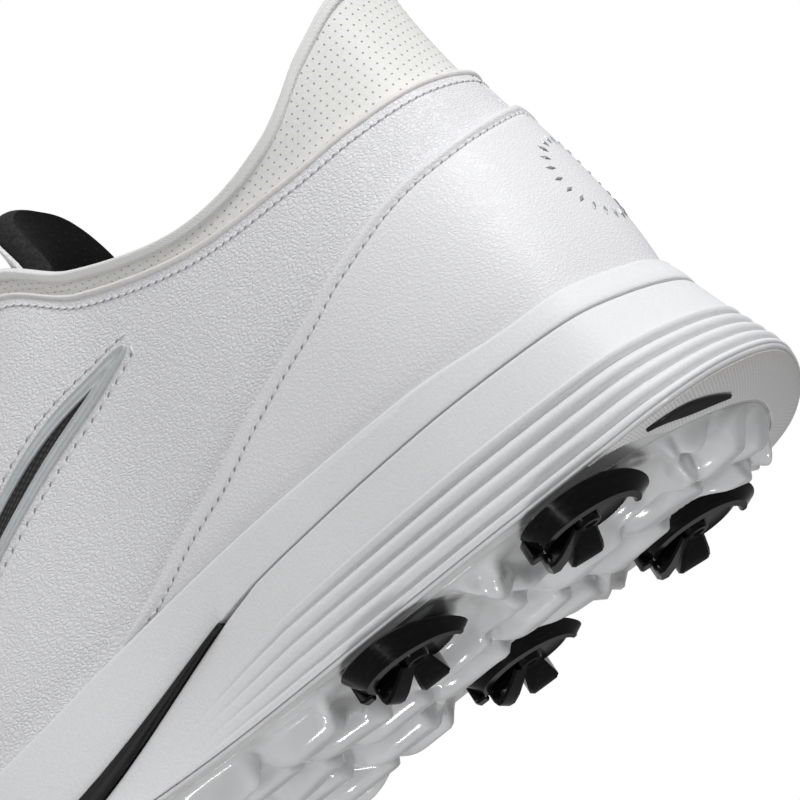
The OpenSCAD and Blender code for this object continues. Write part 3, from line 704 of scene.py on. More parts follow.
def make_midsole_upper():
    def turn(f, share, drop):
        return ring(WHOLE, f, lambda u, y: lerp(key(SEAM, y), rim_z(y), share) - drop)
    rings = [ring(WHOLE, lambda u, q=inset: rim_foot(u) - q, lambda u, y, q=rise: key(SEAM, y) + q)
             for inset, rise in ((0.5, 0), (0.1, 0.15), (0, 0.5))]
    for k in range(1, 8):
        share = k / 8
        rings.append(turn(lambda u, q=share: lerp(rim_foot(u), side_d(u, 0), smooth(q, 0, 1.1)),
                          share, 0.3 * share))
    radius = 1.1
    for k in range(0, 7):
        a = math.radians(15 * k)
        rings.append(turn(lambda u, q=a: side_d(u, 0) - radius * (1 - math.cos(q)), 1,
                          radius * (1 - math.sin(a)) + 0.05))
    for inner, drop in ((1.2, 0.5), (0.6, 1.6), (0.4, CUP)):
        rings.append(turn(lambda u, q=inner: np.full(np.shape(u), q), 1, drop))
    make("midsole_rim", *loft(rings), MIDSOLE, "midsole_foam", nodes=["midsole_upper"], sharp=50)


def shank_on(y):
    return smooth(y, -60, -57) * (1 - smooth(y, 41, 44))


def make_midsole_lower():
    us = np.linspace(-WEDGE_REACH, WEDGE_REACH, 300)
    rings = []
    for share in np.linspace(0, 1, 110):
        fade = 1 - smooth(np.abs(us), 3.4, 5.2)
        depth = groove_profile(np.array(share)) * GROOVE_DEPTH * 1.3
        corner = 0.5 * max(0, 1 - share / 0.03)**2 + 0.45 * max(0, (share - 0.975) / 0.025)**2
        rings.append(ring(
            us, lambda u, q=share, g=depth, c=corner: side_d(u, 1 - 0.8 * q) - g * fade - c,
            lambda u, y, q=share: lerp(key(EDGE, y), np.maximum(
                key(SEAM, y) - key(SHANK, y) * shank_on(y) - GAP, key(EDGE, y) + 0.6), q)))
    make("midsole_wedge", *loft(rings), MIDSOLE, "midsole_foam", nodes=["midsole_lower"], sharp=60)


def make_shank():
    for side in (1, -1):
        us = side * np.linspace(4.66, 7.0, 90)
        rows = []
        for share, reach in ((0, 0), (0.25, 0.3), (0.5, 0.35), (0.75, 0.3), (1, 0), (1, -4), (0, -4)):
            p = beside(us, side_d(us, 0.47) + reach)
            z = key(SEAM, p[:, 1]) - key(SHANK, p[:, 1]) * (1 - share) - GAP * share * 0.6
            rows.append(np.concatenate([p, z[:, None]], -1))
        sections = list(np.stack(rows, 1))
        name, nodes = ("lateral", ["shank_plate"]) if side > 0 else ("medial", [])
        make(f"shank_edge_{name}", *sweep(sections), SHANK_BLACK, "shank_black", nodes=nodes, sharp=60)


def border_in(u):
    return side_d(u, 1) - 3.5 - 7 * (1 - smooth(from_heel(u), 1, 3.5))


def border(u, q):
    """Place and outward direction on the sloping border, from the flat (0) to the edge (1)."""
    def at(u, q):
        a, b = beside(u, border_in(u)), beside(u, side_d(u, 1) - 0.8)
        za, zb = key(BASE, a[..., 1]), key(EDGE, b[..., 1]) - 1
        return np.concatenate([lerp(a, b, q[..., None]), lerp(za, zb, q)[..., None]], -1)
    here = at(u, q)
    n = unit(np.cross(at(u, q + 0.1) - here, at(u + 0.05, q) - here))
    return here, n * np.sign(-n[..., 2:3])


def make_outsole_plate():
    rings = []
    for share in (0, 0.15, 0.4, 0.65, 0.85, 1):
        rings.append(ring(
            WHOLE, lambda u, q=share: lerp(border_in(u), side_d(u, 1) - 0.7, q),
            lambda u, y, q=share: lerp(key(BASE, y), key(EDGE, y) - 1, q) + 0.5 * math.sin(math.pi * q)))
    rings.append(ring(WHOLE, lambda u: side_d(u, 1) - 0.3, lambda u, y: key(EDGE, y) - 0.75))
    rings.append(ring(WHOLE, lambda u: side_d(u, 1) - 0.35, lambda u, y: key(EDGE, y) - GAP))
    verts, faces = loft(rings)
    make("outsole_border", verts, faces, TREAD, "outsole_tpu", nodes=["outsole"], sharp=60)

    def apron(s, t, d):
        u = lerp(-2.3, 2.3, s)
        low = 0.06 + 0.86 * smooth(np.abs(u), 1.2, 2.3)
        here, n = border(u, lerp(low, 0.985, t))
        return here + n * (d + 0.4 * np.sin(np.pi * lerp(low, 0.985, t)))[..., None]
    verts, faces, uv = patch(apron, 160, 12, 0.0, 0.22, roll=0.2)
    make("heel_apron", verts, faces, KNURL, "outsole_tpu", uv=uv, sharp=60)


def fingers():
    """Middles, directions, half lengths, widths and heights of the lugs, on a staggered grid."""
    rows = []
    for i in range(-8, 9):
        for j in range(-4, 5):
            x = (j + (abs(i) % 2) / 2) * 13.2
            y = i * 18.5 + 3.5 * math.sin(2.1 * j + 0.7 * i)
            rows.append([x, y, 0.16 * math.sin(1.7 * i + 0.9 * j) + 0.006 * x,
                         8.4 + 1.2 * math.sin(3.1 * i + 1.3 * j), 5.6 + 0.4 * math.cos(2.3 * j + i),
                         5.2 + 0.6 * math.sin(i * 1.9 + j * 2.7)])
    return np.array(rows)


def tread_height(x, y, edge):
    """How far the tread stands down from the plate; edge is the distance in from its border."""
    total = np.full_like(x, 1e-6)
    spike = np.min([np.hypot(x - sx, y - sy) for sx, sy in SPIKES], axis=0)
    clear = smooth(spike, WING_REACH + 0.6, WING_REACH + 4.5)
    for fx, fy, turn, half, wide, tall in fingers():
        near = (np.abs(x - fx) < 18) & (np.abs(y - fy) < 22)
        if not near.any():
            continue
        dx, dy = x[near] - fx, y[near] - fy
        along = dy * math.cos(turn) + dx * math.sin(turn)
        across = dx * math.cos(turn) - dy * math.sin(turn)
        over = np.maximum(along - half * 0.7, 0) * 2.2 + np.maximum(-along - half * 0.2, 0) * 0.45
        d = np.hypot(over, across) / wide
        total[near] += (tall * np.exp(-(d / 0.85)**4))**4
    lug = total**0.25 * clear
    rim = 3.0 * np.exp(-((spike - WING_REACH - 3.2) / 1.5)**2)
    dish = 0.9 * smooth(spike, 12.5, WING_REACH + 1)
    swell = 0.3 * np.sin(x * 0.21 + 0.6 * np.sin(y * 0.13)) * np.sin(y * 0.17)
    whole = (lug**4 + rim**4)**0.25 + dish + swell
    return whole * smooth(edge, 0.0, 6.0) * (1 - 0.2 * smooth(-y, 60, 140))


def make_tread():
    u = np.linspace(0.04, 10.96, 385)
    t = np.linspace(0, 1, 126)
    right, left = beside(u, border_in(u)), beside(-u, border_in(-u))
    p = left[:, None] + (right - left)[:, None] * t[None, :, None]
    x, y = p[..., 0], p[..., 1]
    width = np.linalg.norm(right - left, axis=-1)[:, None]
    ends = np.minimum(y.max() - y, y - y.min())
    edge = np.minimum(np.minimum(t, 1 - t)[None, :] * width, ends)
    low = np.concatenate([p, (key(BASE, y) - 0.12 - tread_height(x, y, edge))[..., None]], -1)
    high = np.concatenate([p, (key(BASE, y) + 0.6)[..., None]], -1)
    verts = np.concatenate([low.reshape(-1, 3), high.reshape(-1, 3)])
    make("tread", verts, turned_out(verts, shell_faces(*x.shape)), TREAD, "outsole_tpu", sharp=80)


def make_inlay():
    """Plain slanted bar bonded to the sloping border behind the heel."""
    def surf(s, t, d):
        u = lerp(0.5, 1.7, s)
        w = 0.32 * np.sin(np.pi * lerp(0.08, 0.92, s))
        here, n = border(u, lerp(0.3, 0.7, s) + (t - 0.5) * w)
        return here + n * d[..., None]
    verts, faces, uv = patch(surf, 40, 6, 0.1, 1.1, roll=0.3)
    make("heel_bar", verts, faces, INLAY_BLACK, "black_trim", nodes=["heel_inlay"], uv=uv, sharp=50)


# ---------------------------------------------------------------- spikes
def blade(ends, inner, outer, z_low, z_high, n=20, chamfer=0.45, rake=0.0):
    """Curved blade between two directions; outer radius and heights are functions of the share."""
    sections = []
    for k in range(-1, n + 2):
        t = min(max(k / n, 0), 1)
        a = math.radians(lerp(ends[0], ends[1], t) + 1.2 * ((k > n) - (k < 0)))
        ro, z0, z1 = outer(t), z_low(t), z_high(t)
        ri = min(inner, ro - 1.2)
        if not 0 <= k <= n:
            ri, ro, z0 = ri + 0.35, ro - 0.35, z0 + 0.35
        c = min(chamfer, (ro - ri) * 0.3, (z1 - z0) * 0.3)
        lean = min(rake, (ro - ri) * 0.5)
        outline = [(ri, z0 + c), (ri + c, z0), (ro - lean - c, z0), (ro - lean, z0 + c), (ro, z1 - c),
                   (ro - c, z1), (ri + c, z1), (ri, z1 - c)]
        sections.append(np.array([[r * math.cos(a), r * math.sin(a), z] for r, z in outline]))
    return sweep(sections)


def paddle(direction, lean):
    """Broad tooth that widens outwards and slopes down to the ground, its end cut slantwise."""
    sections = []
    for r, half, low in ((2.6, 2.2, 3.3), (5.0, 2.7, 1.9), (7.6, 3.2, 0.6), (9.6, 3.4, 0.0),
                         (10.8, 3.2, 0.2), (11.4, 2.8, 0.9)):
        outline = []
        for w, z in ((-1, low + 0.5), (-0.8, low), (0.8, low), (1, low + 0.5), (1, 5.0), (-1, 5.0)):
            outline.append([r + lean * w * (r - 2.6) / 8, w * half, z])
        sections.append(np.array(outline))
    verts, faces = sweep(sections)
    return turned(verts, direction), faces


def make_spikes():
    edge = SPIKE_D / 2
    disc = lathe([(0, 3.2), (1.2, 3.2), (1.4, 2.9), (2.2, 2.9), (2.4, 3.3), (2.7, 4.3),
                  (edge - 2.2, 4.5), (edge - 1.4, 4.2), (edge - 0.6, 4.4), (edge - 0.1, 5.0),
                  (edge, 5.8), (edge, 6.8), (edge - 0.4, 7.2), (edge - 2, 7.45), (0, 7.45)], 96)
    stud = lathe([(0, 7.3), (4.2, 7.3), (4.45, 7.5), (4.45, 10.8), (4.0, 11.25), (0, 11.25)], 32)
    wing = blade([-80, 97], edge - 0.8,
                 lambda t: edge + 2.2 + (WING_REACH - edge - 2.2) * math.sin(math.pi * t)**0.8
                 * (1 - 0.2 * smooth(t, 0.55, 1)),
                 lambda t: 2.5 - 0.5 * t**2, lambda t: 6.8 - 3.2 * smooth(t, 0.45, 1), 48, 0.4, 3.8)
    step = blade([-40, 34], edge - 2.4, lambda t: edge + 0.4, lambda t: 3.5 + 0.2 * t, lambda t: 6.9, 24)
    paddles = [paddle(a, lean) for a, lean in ((200, 0.8), (256, -0.8))]
    root = blade([188, 268], 2.4, lambda t: 6.2, lambda t: 3.2, lambda t: 4.9, 16, 0.3)
    post = blade([-84, -70], edge + 0.8, lambda t: edge + 3.4, lambda t: 2.0, lambda t: 6.4, 6, 0.4)
    shape = joined([disc, stud, wing, step, *paddles, root, post])
    for i, ((x, y), turn) in enumerate(zip(SPIKES, TURNS)):
        verts = turned(shape[0], turn) + np.array([x, y, 0])
        make(f"spike_{i + 1}_detailed", verts, shape[1], SPIKE_BLACK, "spike_black",
             body=f"spike_{i + 1}", nodes=[f"spike_{i + 1}"], sharp=28)


# ---------------------------------------------------------------- upper
def upper_piece(name, place, ns, nt, low, high, look, slot, nodes=(), roll=0.6, surf=None, body="shoe"):
    verts, faces, uv = patch(surf or on_place(place), ns, nt, low, high, roll)
    return make(name, verts, faces, look, slot, body=body, nodes=nodes, uv=uv, sharp=60)


def top_edge(u):
    return key(OVERLAY, np.abs(u))


def edge_lean(u):
    """How much longer the way down the upper is than the distance from the overlay's edge."""
    slope = (top_edge(u + 0.02) - top_edge(u - 0.02)) / 0.04
    return np.sqrt(1 + (slope * 4.2)**2)


def overlay_face(s, t):
    """Outer face of the overlay: plumper at its folded edge, pulled in along the stitches."""
    u, v = overlay_place(s, t)
    below = (top_edge(u) - v) * 62 / edge_lean(u)
    return (GAP + 1.05 + 0.4 * np.exp(-((below - 0.7) / 0.8)**2)
            - 0.3 * np.exp(-((below - 2.0) / 0.5)**2))


def overlay_place(s, t):
    u = (2 * s - 1) * 5.15
    return u, lerp(0.1, top_edge(u), 1 - (1 - t)**2.6)


def make_panels():
    upper_piece("vamp_leather", lambda s, t: (lerp(vamp_seam(t) + 0.02, 22 - vamp_seam(t) - 0.02, s), t),
                120, 60, -LEATHER_T, 0, WHITE_LEATHER, "white_leather", ["vamp"])
    for side, name in ((1, "lateral"), (-1, "medial")):
        upper_piece(f"quarter_{name}_leather",
                    lambda s, t, q=side: (q * lerp(0.02, vamp_seam(t) - 0.02, s), t),
                    220, 70, -LEATHER_T, 0, WHITE_LEATHER, "white_leather", [f"quarter_{name}"])
        upper_piece(f"eyestay_{name}_leather",
                    lambda s, t, q=side: (q * lerp(6.1, 9.35, s), lerp(0.84, 1, t)), 90, 12, GAP,
                    GAP + 1, OVERLAY_LEATHER, "white_leather", [f"eyestay_{name}"])
    upper_piece("heel_overlay_leather", overlay_place, 220, 40, 0.05, overlay_face, OVERLAY_LEATHER,
                "white_leather", ["heel_overlay"], roll=0.7)


def spindle(side, ends, width, power, grow=0.0):
    """Centre, half width and place function of the side window's spindle."""
    def edge(k, up):
        w = width * np.maximum(np.sin(np.pi * (k - ends[0]) / (ends[1] - ends[0])), 0.0)**power + grow
        u = lerp(4.73, 7.1, k)
        v = lerp(0.795, 0.2, k) + 0.015 * np.sin(np.pi * k) + up * w / 2
        return side * u, v
    return edge


def around_spindle(edge, ends, a):
    """u and v at a share of the way round a spindle's outline."""
    k = lerp(ends[0], ends[1], 0.5 - 0.5 * np.cos(2 * np.pi * a))
    return edge(k, np.sign(np.sin(2 * np.pi * a) + 1e-12))


def make_windows():
    for side, name in ((1, "lateral"), (-1, "medial")):
        outer = spindle(side, (0, 1), 0.104, 0.43)
        inner = spindle(side, (0.15, 0.85), 0.043, 0.8)

        def frame_place(s, t, o=outer, i=inner):
            uo, vo = around_spindle(o, (0, 1), s)
            ui, vi = around_spindle(i, (0.15, 0.85), s)
            return lerp(uo, ui, t), lerp(vo, vi, t)
        upper_piece(f"window_frame_{name}_trim", frame_place, 200, 10, 0.02,
                    lambda s, t: 0.55 + 0.4 * np.cos(2 * np.pi * t)**2, GREY_TRIM, "grey_trim",
                    [f"window_frame_{name}"], roll=0.45)

        def mesh_place(s, t, i=inner):
            k = lerp(0.152, 0.848, s)
            ua, va = i(k, -1.0)
            ub, vb = i(k, 1.0)
            return lerp(ua, ub, t), lerp(va, vb, t)
        upper_piece(f"window_mesh_{name}_cloth", mesh_place, 120, 10, 0.03, 0.3, WINDOW_MESH,
                    "black_mesh", [f"window_mesh_{name}"], roll=0.1)


COLLAR_REACH = 5.9
PANEL_FACE = LEATHER_T + 0.2


def make_collar():
    upper_piece("collar_synthetic", lambda s, t: (lerp(-COLLAR_REACH, COLLAR_REACH, s), lerp(0.94, 1.97, t)),
                240, 30, -PANEL_FACE - 0.9, -PANEL_FACE, COLLAR, "collar_synthetic",
                ["collar_panel"], roll=0.3)

    def knit(s, t, d):
        """Edging rolled over the top of the collar, from its outer face to the lining."""
        u = lerp(-COLLAR_REACH, COLLAR_REACH, s)
        inner = lining_depth(u, np.full_like(u, 2.0)) + LINING_T
        a = np.pi * lerp(-0.28, 1.28, t)
        middle = -(PANEL_FACE + inner) / 2
        half = (inner - PANEL_FACE) / 2 + 0.35
        rise = COLLAR_RISE * key(RISE, from_heel(u))
        down = np.minimum(1.7, rise * 0.22)
        lift = np.where(np.sin(a) > 0, np.sin(a) * np.minimum(half, 1.1), np.sin(a) / 0.77 * down)
        v = np.full_like(u, 2.0)
        base = on_skin(u, v, middle + np.clip(np.cos(a) * 1.25, -1, 1) * (half + d))
        along = unit(on_skin(u, v, 0.0) - on_skin(u, v - 0.05, 0.0))
        return base + along * (lift - 0.6 + d * np.maximum(np.sin(a), 0))[..., None]
    verts, faces, uv = patch(knit, 220, 22, 0.0, 0.55, roll=0.2)
    make("collar_knit_edge", verts, faces, KNIT, "collar_knit", nodes=["collar_binding"], uv=uv, sharp=70)

    def bead(s, t):
        """Rounded raw edge of the leather along the topline."""
        u = lerp(-COLLAR_REACH - 0.1, COLLAR_REACH + 0.1, s)
        a = 2 * np.pi * t
        v = np.full_like(u, 1.0)
        n = skin_normal(u, v * 0.98)
        along = unit(leather(u, v) - leather(u, v * 0.97))
        middle = leather(u, v) + n * -0.35 + along * 0.1
        return middle + 0.75 * (np.cos(a)[..., None] * n * 1.25 + np.sin(a)[..., None] * along)
    rings = bead(*np.meshgrid(np.linspace(0, 1, 301), np.arange(12) / 12, indexing="ij"))
    make("topline_bead", *sweep(list(rings)), RAW_EDGE, "raw_edge", nodes=["topline_edge"], sharp=80)


def make_inside():
    def face(u, v):
        return -lining_depth(u, v)

    def lining(name, place, ns, nt, node):
        def low(s, t):
            u, v = place(s, t)
            return face(u, v) - LINING_T

        def high(s, t):
            return face(*place(s, t))
        upper_piece(name, place, ns, nt, low, high, LINING, "lining_cloth", [node], roll=0.2)
    split = 4.2
    lining("heel_lining_cloth", lambda s, t: (lerp(-split, split, s), lerp(0.01, 2, t)), 120, 60,
           "heel_lining")
    for side, name in ((1, "lateral"), (-1, "medial")):
        lining(f"quarter_lining_{name}_cloth",
               lambda s, t, q=side: (q * lerp(split + 0.02, vamp_seam(0) - 0.6, s), lerp(0.01, 1, t)),
               60, 40, f"quarter_lining_{name}")
    lining("vamp_lining_cloth",
           lambda s, t: (lerp(vamp_seam(0) - 0.58, 22 - vamp_seam(0) + 0.58, s), lerp(0.01, 1, t)),
           100, 40, "vamp_lining")

    def foam_place(s, t):
        return lerp(-4.2, 4.2, s), lerp(0.72, 1.9, t)
    foam = upper_piece("collar_padding", foam_place, 90, 24,
                       lambda s, t: -lining_depth(*foam_place(s, t)) + 0.3, -PANEL_FACE - 1.2, FOAM,
                       "foam", ["collar_foam"], roll=0.4)

    rings = [ring(WHOLE, lambda u, q=inner: np.full(np.shape(u), q),
                  lambda u, y, q=rise: rim_z(y) - TUCK + q)
             for inner, rise in ((-6.0, 0), (-5.6, 3), (-5.9, 3.9), (-6.8, 4.2))]
    verts, faces = loft(rings)
    make("sockliner_cloth", verts, faces, SOCK_CLOTH, "sockliner_cloth", nodes=["sockliner"],
         uv=verts[:, :2], sharp=60)


def tongue_at(s, x, d):
    a, b = key(TONGUE, np.maximum(s - 0.02, 0)), key(TONGUE, np.minimum(s + 0.02, 1))
    t = unit(b - a)
    w = TONGUE_W * lerp(0.55, 1, smooth(s, 0, 0.8)) * (1 + 0.45 * smooth(s, 0.87, 1))
    n = unit(np.stack([x * 0.7, -t[..., 1], t[..., 0]], -1))
    m = key(TONGUE, s)
    sag = lerp(9, 4, smooth(s, 0.85, 1)) * x**2
    return np.stack([x * w, m[..., 0] + sag * t[..., 1], m[..., 1] - sag * t[..., 0]], -1) + n * d[..., None]


def fold(piece):
    """Bakes the piece's placement into its mesh; the piece is attached to no body."""
    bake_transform(piece)


def make_tongue():
    def layer(s0, s1, reach):
        def surf(s, t, d):
            x = lerp(-reach, reach, t)
            return tongue_at(lerp(s0, s1 * (1 - 0.11 * np.abs(x)**3), s), x, d)
        return surf
    rows = (("tongue_face", layer(0.02, 1, 1), -1, 0, OVERLAY_LEATHER, "white_leather", "tongue_shell", 0.5),
            ("tongue_padding", layer(0.12, 0.97, 0.92), -5, -1.2, FOAM, "foam", "tongue_foam", 1.2),
            ("tongue_lining_cloth", layer(0.02, 1, 1), -6.2, -5.2, TONGUE_CLOTH, "tongue_cloth",
             "tongue_lining", 0.4))
    for name, surf, low, high, look, slot, node, roll in rows:
        piece = upper_piece(name, None, 90, 40, low, high, look, slot, [node], roll, surf, body=None)
        fold(piece)

    def rim(s, t):
        """Lining turned over the edge of the padding, up to the face."""
        path = np.clip(s * 3, 0, 3)
        x = np.where(path < 1, -1.0, np.where(path > 2, 1.0, lerp(-1, 1, path - 1)))
        far = 1 - 0.11 * np.abs(x)**3
        k = np.where(path < 1, lerp(0.1, far, path),
                     np.where(path > 2, lerp(far, 0.1, path - 2), far))
        return tongue_at(k, x, lerp(-6.1, -1.2, t))
    s, t = np.meshgrid(np.linspace(0, 1, 241), np.linspace(0, 1, 9), indexing="ij")
    middle = rim(s, t)
    centre = tongue_at(np.full(241, 0.6), np.zeros(241), np.full(241, -3.0))[:, None]
    out = unit(middle - centre)
    bulge = (np.sin(np.pi * t) * 0.7 + 0.1)[..., None]
    sections = [np.concatenate([middle[i] + out[i] * bulge[i], (middle[i] - out[i] * 0.6)[::-1]])
                for i in range(241)]
    piece = make("tongue_edge", *sweep(sections), TONGUE_EDGE, "tongue_cloth", body=None, sharp=70)
    fold(piece)


# ---------------------------------------------------------------- closure
def eyelet_u(i):
    return lerp(6.55, 9.0, i / (EYELETS - 1))


def make_eyelets():
    r = HOLE_D / 2
    tube = [(r - 0.5, -2.8), (r, -2.8), (r, GAP + 1.05), (r + 1.1, GAP + 1.1), (r + 1.25, GAP + 1.3),
            (r + 1.1, GAP + 1.65), (r + 0.2, GAP + 1.75), (r - 0.3, GAP + 1.6), (r - 0.5, GAP + 1.2)]
    sides = 32
    a = np.linspace(0, 2 * np.pi, sides, endpoint=False)
    local = np.array([[q * math.cos(x), q * math.sin(x), z] for q, z in tube for x in a])
    n = len(tube)
    faces = [(k * sides + i, k * sides + (i + 1) % sides, (k + 1) % n * sides + (i + 1) % sides,
              (k + 1) % n * sides + i) for k in range(n) for i in range(sides)]
    shapes = []
    for side in (1, -1):
        for i in range(EYELETS):
            u = np.array(side * eyelet_u(i))
            normal = skin_normal(u, EYELET_V)
            x = unit(np.cross(UP, normal))
            basis = np.stack([x, np.cross(normal, x), normal])
            verts = local @ basis + skin(u, EYELET_V)
            shapes.append((verts, turned_out(verts, faces)))
    make("eyelet_rings", *joined(shapes), EYELET_METAL, "eyelet_metal", nodes=["eyelets"], sharp=50)


def lace_route():
    def place(side, i, d, v=EYELET_V):
        return on_skin(np.array(side * eyelet_u(i)), np.array(v), d)
    route = [on_skin(np.array(6.2), np.array(EYELET_V), -5.4)]
    for i in range(EYELETS):
        side = 1 if i % 2 == 0 else -1
        ends = [[place(q, i, -5.4), place(q, i, -4.4), place(q, i, 3.9), place(q, i, 3.9, 1.0)]
                for q in (side, -side)]
        middle = lerp(ends[0][3], ends[1][3], 0.5) + 1.5 * UP
        route += ends[0] + [middle] + ends[1][::-1]
    route.append(on_skin(np.array((1 if EYELETS % 2 == 0 else -1) * 9.25), np.array(EYELET_V), -6.0))
    return np.array(route)


def make_lace():
    """Flat braided lace that crosses the throat at each pair of eyelets."""
    route = lace_route()
    n = len(route)
    fine = []
    for i in range(n - 1):
        a, b = route[max(i - 1, 0)], route[i]
        c, d = route[i + 1], route[min(i + 2, n - 1)]
        for t in np.arange(8) / 8:
            fine.append(b * (2 * t**3 - 3 * t**2 + 1) + (c - a) * 0.35 * (t**3 - 2 * t**2 + t)
                        + c * (3 * t**2 - 2 * t**3) + (d - b) * 0.35 * (t**3 - t**2))
    fine.append(route[-1])
    line = np.array(fine)
    ahead = unit(np.gradient(line, axis=0))
    up = np.stack([line[:, 0] * 0.02, np.full(len(line), -0.5), np.full(len(line), 0.86)], -1)
    wide = unit(np.cross(ahead, unit(up)))
    thin = unit(np.cross(wide, ahead))
    run = np.concatenate([[0], np.cumsum(np.linalg.norm(np.diff(line, axis=0), axis=-1))])
    sides = 16
    sections, uv = [], []
    for p, w, q, r in zip(line, wide, thin, run):
        a = np.linspace(0, 2 * np.pi, sides, endpoint=False)
        sections.append(p + 1.95 * np.sign(np.cos(a))[:, None] * np.abs(np.cos(a))[:, None]**0.8 * w
                        + 0.75 * np.sin(a)[:, None] * q)
        uv.append(np.stack([np.full(sides, r), 2.0 * np.cos(a)], -1))
    verts, faces = sweep(sections)
    make("flat_lace", verts, faces, LACE_CLOTH, "lace_cord", nodes=["lace"], uv=np.concatenate(uv), sharp=80)


# ---------------------------------------------------------------- stitching
def stitch_shape(length, wide, high):
    """A plump thread segment along x, lying in a shallow hollow."""
    sections = []
    for x, share in ((-0.5, 0.25), (-0.38, 0.75), (-0.15, 1.0), (0.15, 1.0), (0.38, 0.75), (0.5, 0.25)):
        a = np.linspace(0, 2 * np.pi, 7)[:-1]
        dip = -0.25 * (abs(x) * 2)**3
        sections.append(np.stack([np.full(6, x * length), np.cos(a) * wide / 2 * share,
                                  np.sin(a) * high / 2 * share + dip], -1))
    return sweep(sections)


def stitch_row(name, line, pitch=2.6):
    """Stitches and the needle holes between them along line(s), which gives u, v and depth; the holes' grey
    is painted shadow.
    """
    s = np.linspace(0, 1, 1500)
    u, v, d = line(s)
    points = on_skin(u, v, d)
    run = np.concatenate([[0], np.cumsum(np.linalg.norm(np.diff(points, axis=0), axis=-1))])
    count = int(run[-1] / pitch)
    stitch = stitch_shape(pitch * 0.84, 0.6, 0.62)
    # Needle hole: a shallow slanted slot, its grey a painted shadow.
    slot = lathe([(0, -0.3), (0.2, -0.3), (0.22, 0.0), (0.15, 0.06), (0, 0.06)], 8)
    hole = (slot[0] * np.array([2.5, 1.0, 1.0]), slot[1])
    threads, holes = [], []
    for k in range(count):
        for offset, shape, out in ((0.5, stitch, threads), (1.0, hole, holes)):
            at = np.interp((k + offset) * pitch, run, s)
            a, b = max(at - 0.0015, 0), min(at + 0.0015, 1)
            us, vs, ds = line(np.array([a, at, b]))
            three = on_skin(us, vs, ds)
            ahead = unit(three[2] - three[0])
            normal = skin_normal(us[1:2], vs[1:2])[0]
            side = unit(np.cross(normal, ahead))
            slant = unit(ahead + (0.12 if shape is stitch else 0.45) * side)
            basis = np.stack([slant, unit(np.cross(normal, slant)), normal])
            out.append((shape[0] @ basis + three[1] + normal * 0.04, shape[1]))
    make(f"{name}_thread", *joined(threads), THREAD, "white_leather", sharp=80)
    # The holes carry the grey painted shadow between the stitches.
    make(f"{name}_holes", *joined(holes), NEEDLE_HOLE_SHADOW, "white_leather", sharp=60)


def make_stitching():
    def topline(s):
        u = lerp(-6.0, 6.0, s)
        return u, np.full_like(u, 0.958), np.zeros_like(u)
    stitch_row("topline_row", topline, pitch=1.8)

    def overlay(s):
        u = lerp(-5.1, 5.1, s)
        return u, np.maximum(top_edge(u) - 0.032 * edge_lean(u), 0.11), np.full_like(u, GAP + 0.8)
    stitch_row("overlay_row", overlay, pitch=2.2)
    for side, name in ((1, "lateral"), (-1, "medial")):
        grown = spindle(side, (-0.015, 1.015), 0.1, 0.5, 0.05)

        def window(s, g=grown):
            u, v = around_spindle(g, (-0.015, 1.015), s)
            return u, v, np.zeros_like(u)
        stitch_row(f"window_row_{name}", window, pitch=2.9)

        def vamp_row(s, q=side):
            v = lerp(0.06, 0.97, s)
            return q * (vamp_seam(v) - 0.12), v, np.zeros_like(v)
        stitch_row(f"vamp_row_{name}", vamp_row)

        def eyestay_row(s, q=side):
            u = lerp(6.2, 9.28, s)
            return q * u, np.full_like(u, 0.862), np.full_like(u, GAP + 1.0)
        stitch_row(f"eyestay_row_{name}", eyestay_row)


def make_emblem():
    """Plain ring of small diamond studs pressed into the back of the heel overlay."""
    shapes = []
    count = 22
    for k in range(count):
        a = 2 * math.pi * k / count
        u = np.array(0.05 + 0.42 * math.cos(a))
        v = np.array(0.47 + 0.165 * math.sin(a))
        at = on_skin(u, v, GAP + 0.98)
        normal = skin_normal(u, v)
        middle = on_skin(np.array(0.05), np.array(0.47), GAP + 0.98)
        x = unit(at - middle)
        x = unit(x - normal * np.dot(x, normal))
        basis = np.stack([x, np.cross(normal, x), normal])
        diamond = np.array([[1.25, 0, 0], [0, 0.5, 0], [-1.25, 0, 0], [0, -0.5, 0]])
        sections = [diamond - [0, 0, 0.3], diamond + [0, 0, 0.12], diamond * 0.55 + [0, 0, 0.32]]
        verts, faces = sweep(sections)
        verts = verts @ basis + at
        shapes.append((verts, turned_out(verts, faces)))
    make("heel_studs", *joined(shapes), STUD_GREY, "grey_trim", sharp=20)


# ---------------------------------------------------------------- what stays of the CAD
def dress_cad():
    looks = {"spike_sockets": SOCKET, "insole_board": BOARD, "toe_puff": STIFFENER,
             "heel_counter": STIFFENER}
    for node, look in looks.items():
        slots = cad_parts[node].data.materials
        slots.clear()
        slots.append(look)


# ---------------------------------------------------------------- stage
CAMERA_AT = (1.03880, 0.42584, -0.27218)
CAMERA_RIGHT = Vector((-0.41536, 0.74017, -0.52880))
CAMERA_UP = Vector((0.04812, 0.59838, 0.79977))
CAMERA_BACK = Vector((0.90839, 0.30674, -0.28416))


def make_camera():
    data = bpy.data.cameras.new("camera")
    data.lens = 270
    data.sensor_width = 36
    data.clip_start, data.clip_end = 0.05, 50
    camera = bpy.data.objects.new("camera", data)
    axes = Matrix((CAMERA_RIGHT, CAMERA_UP, CAMERA_BACK)).transposed()
    camera.matrix_world = Matrix.Translation(CAMERA_AT) @ axes.to_4x4()
    bpy.context.scene.collection.objects.link(camera)
    bpy.context.scene.camera = camera


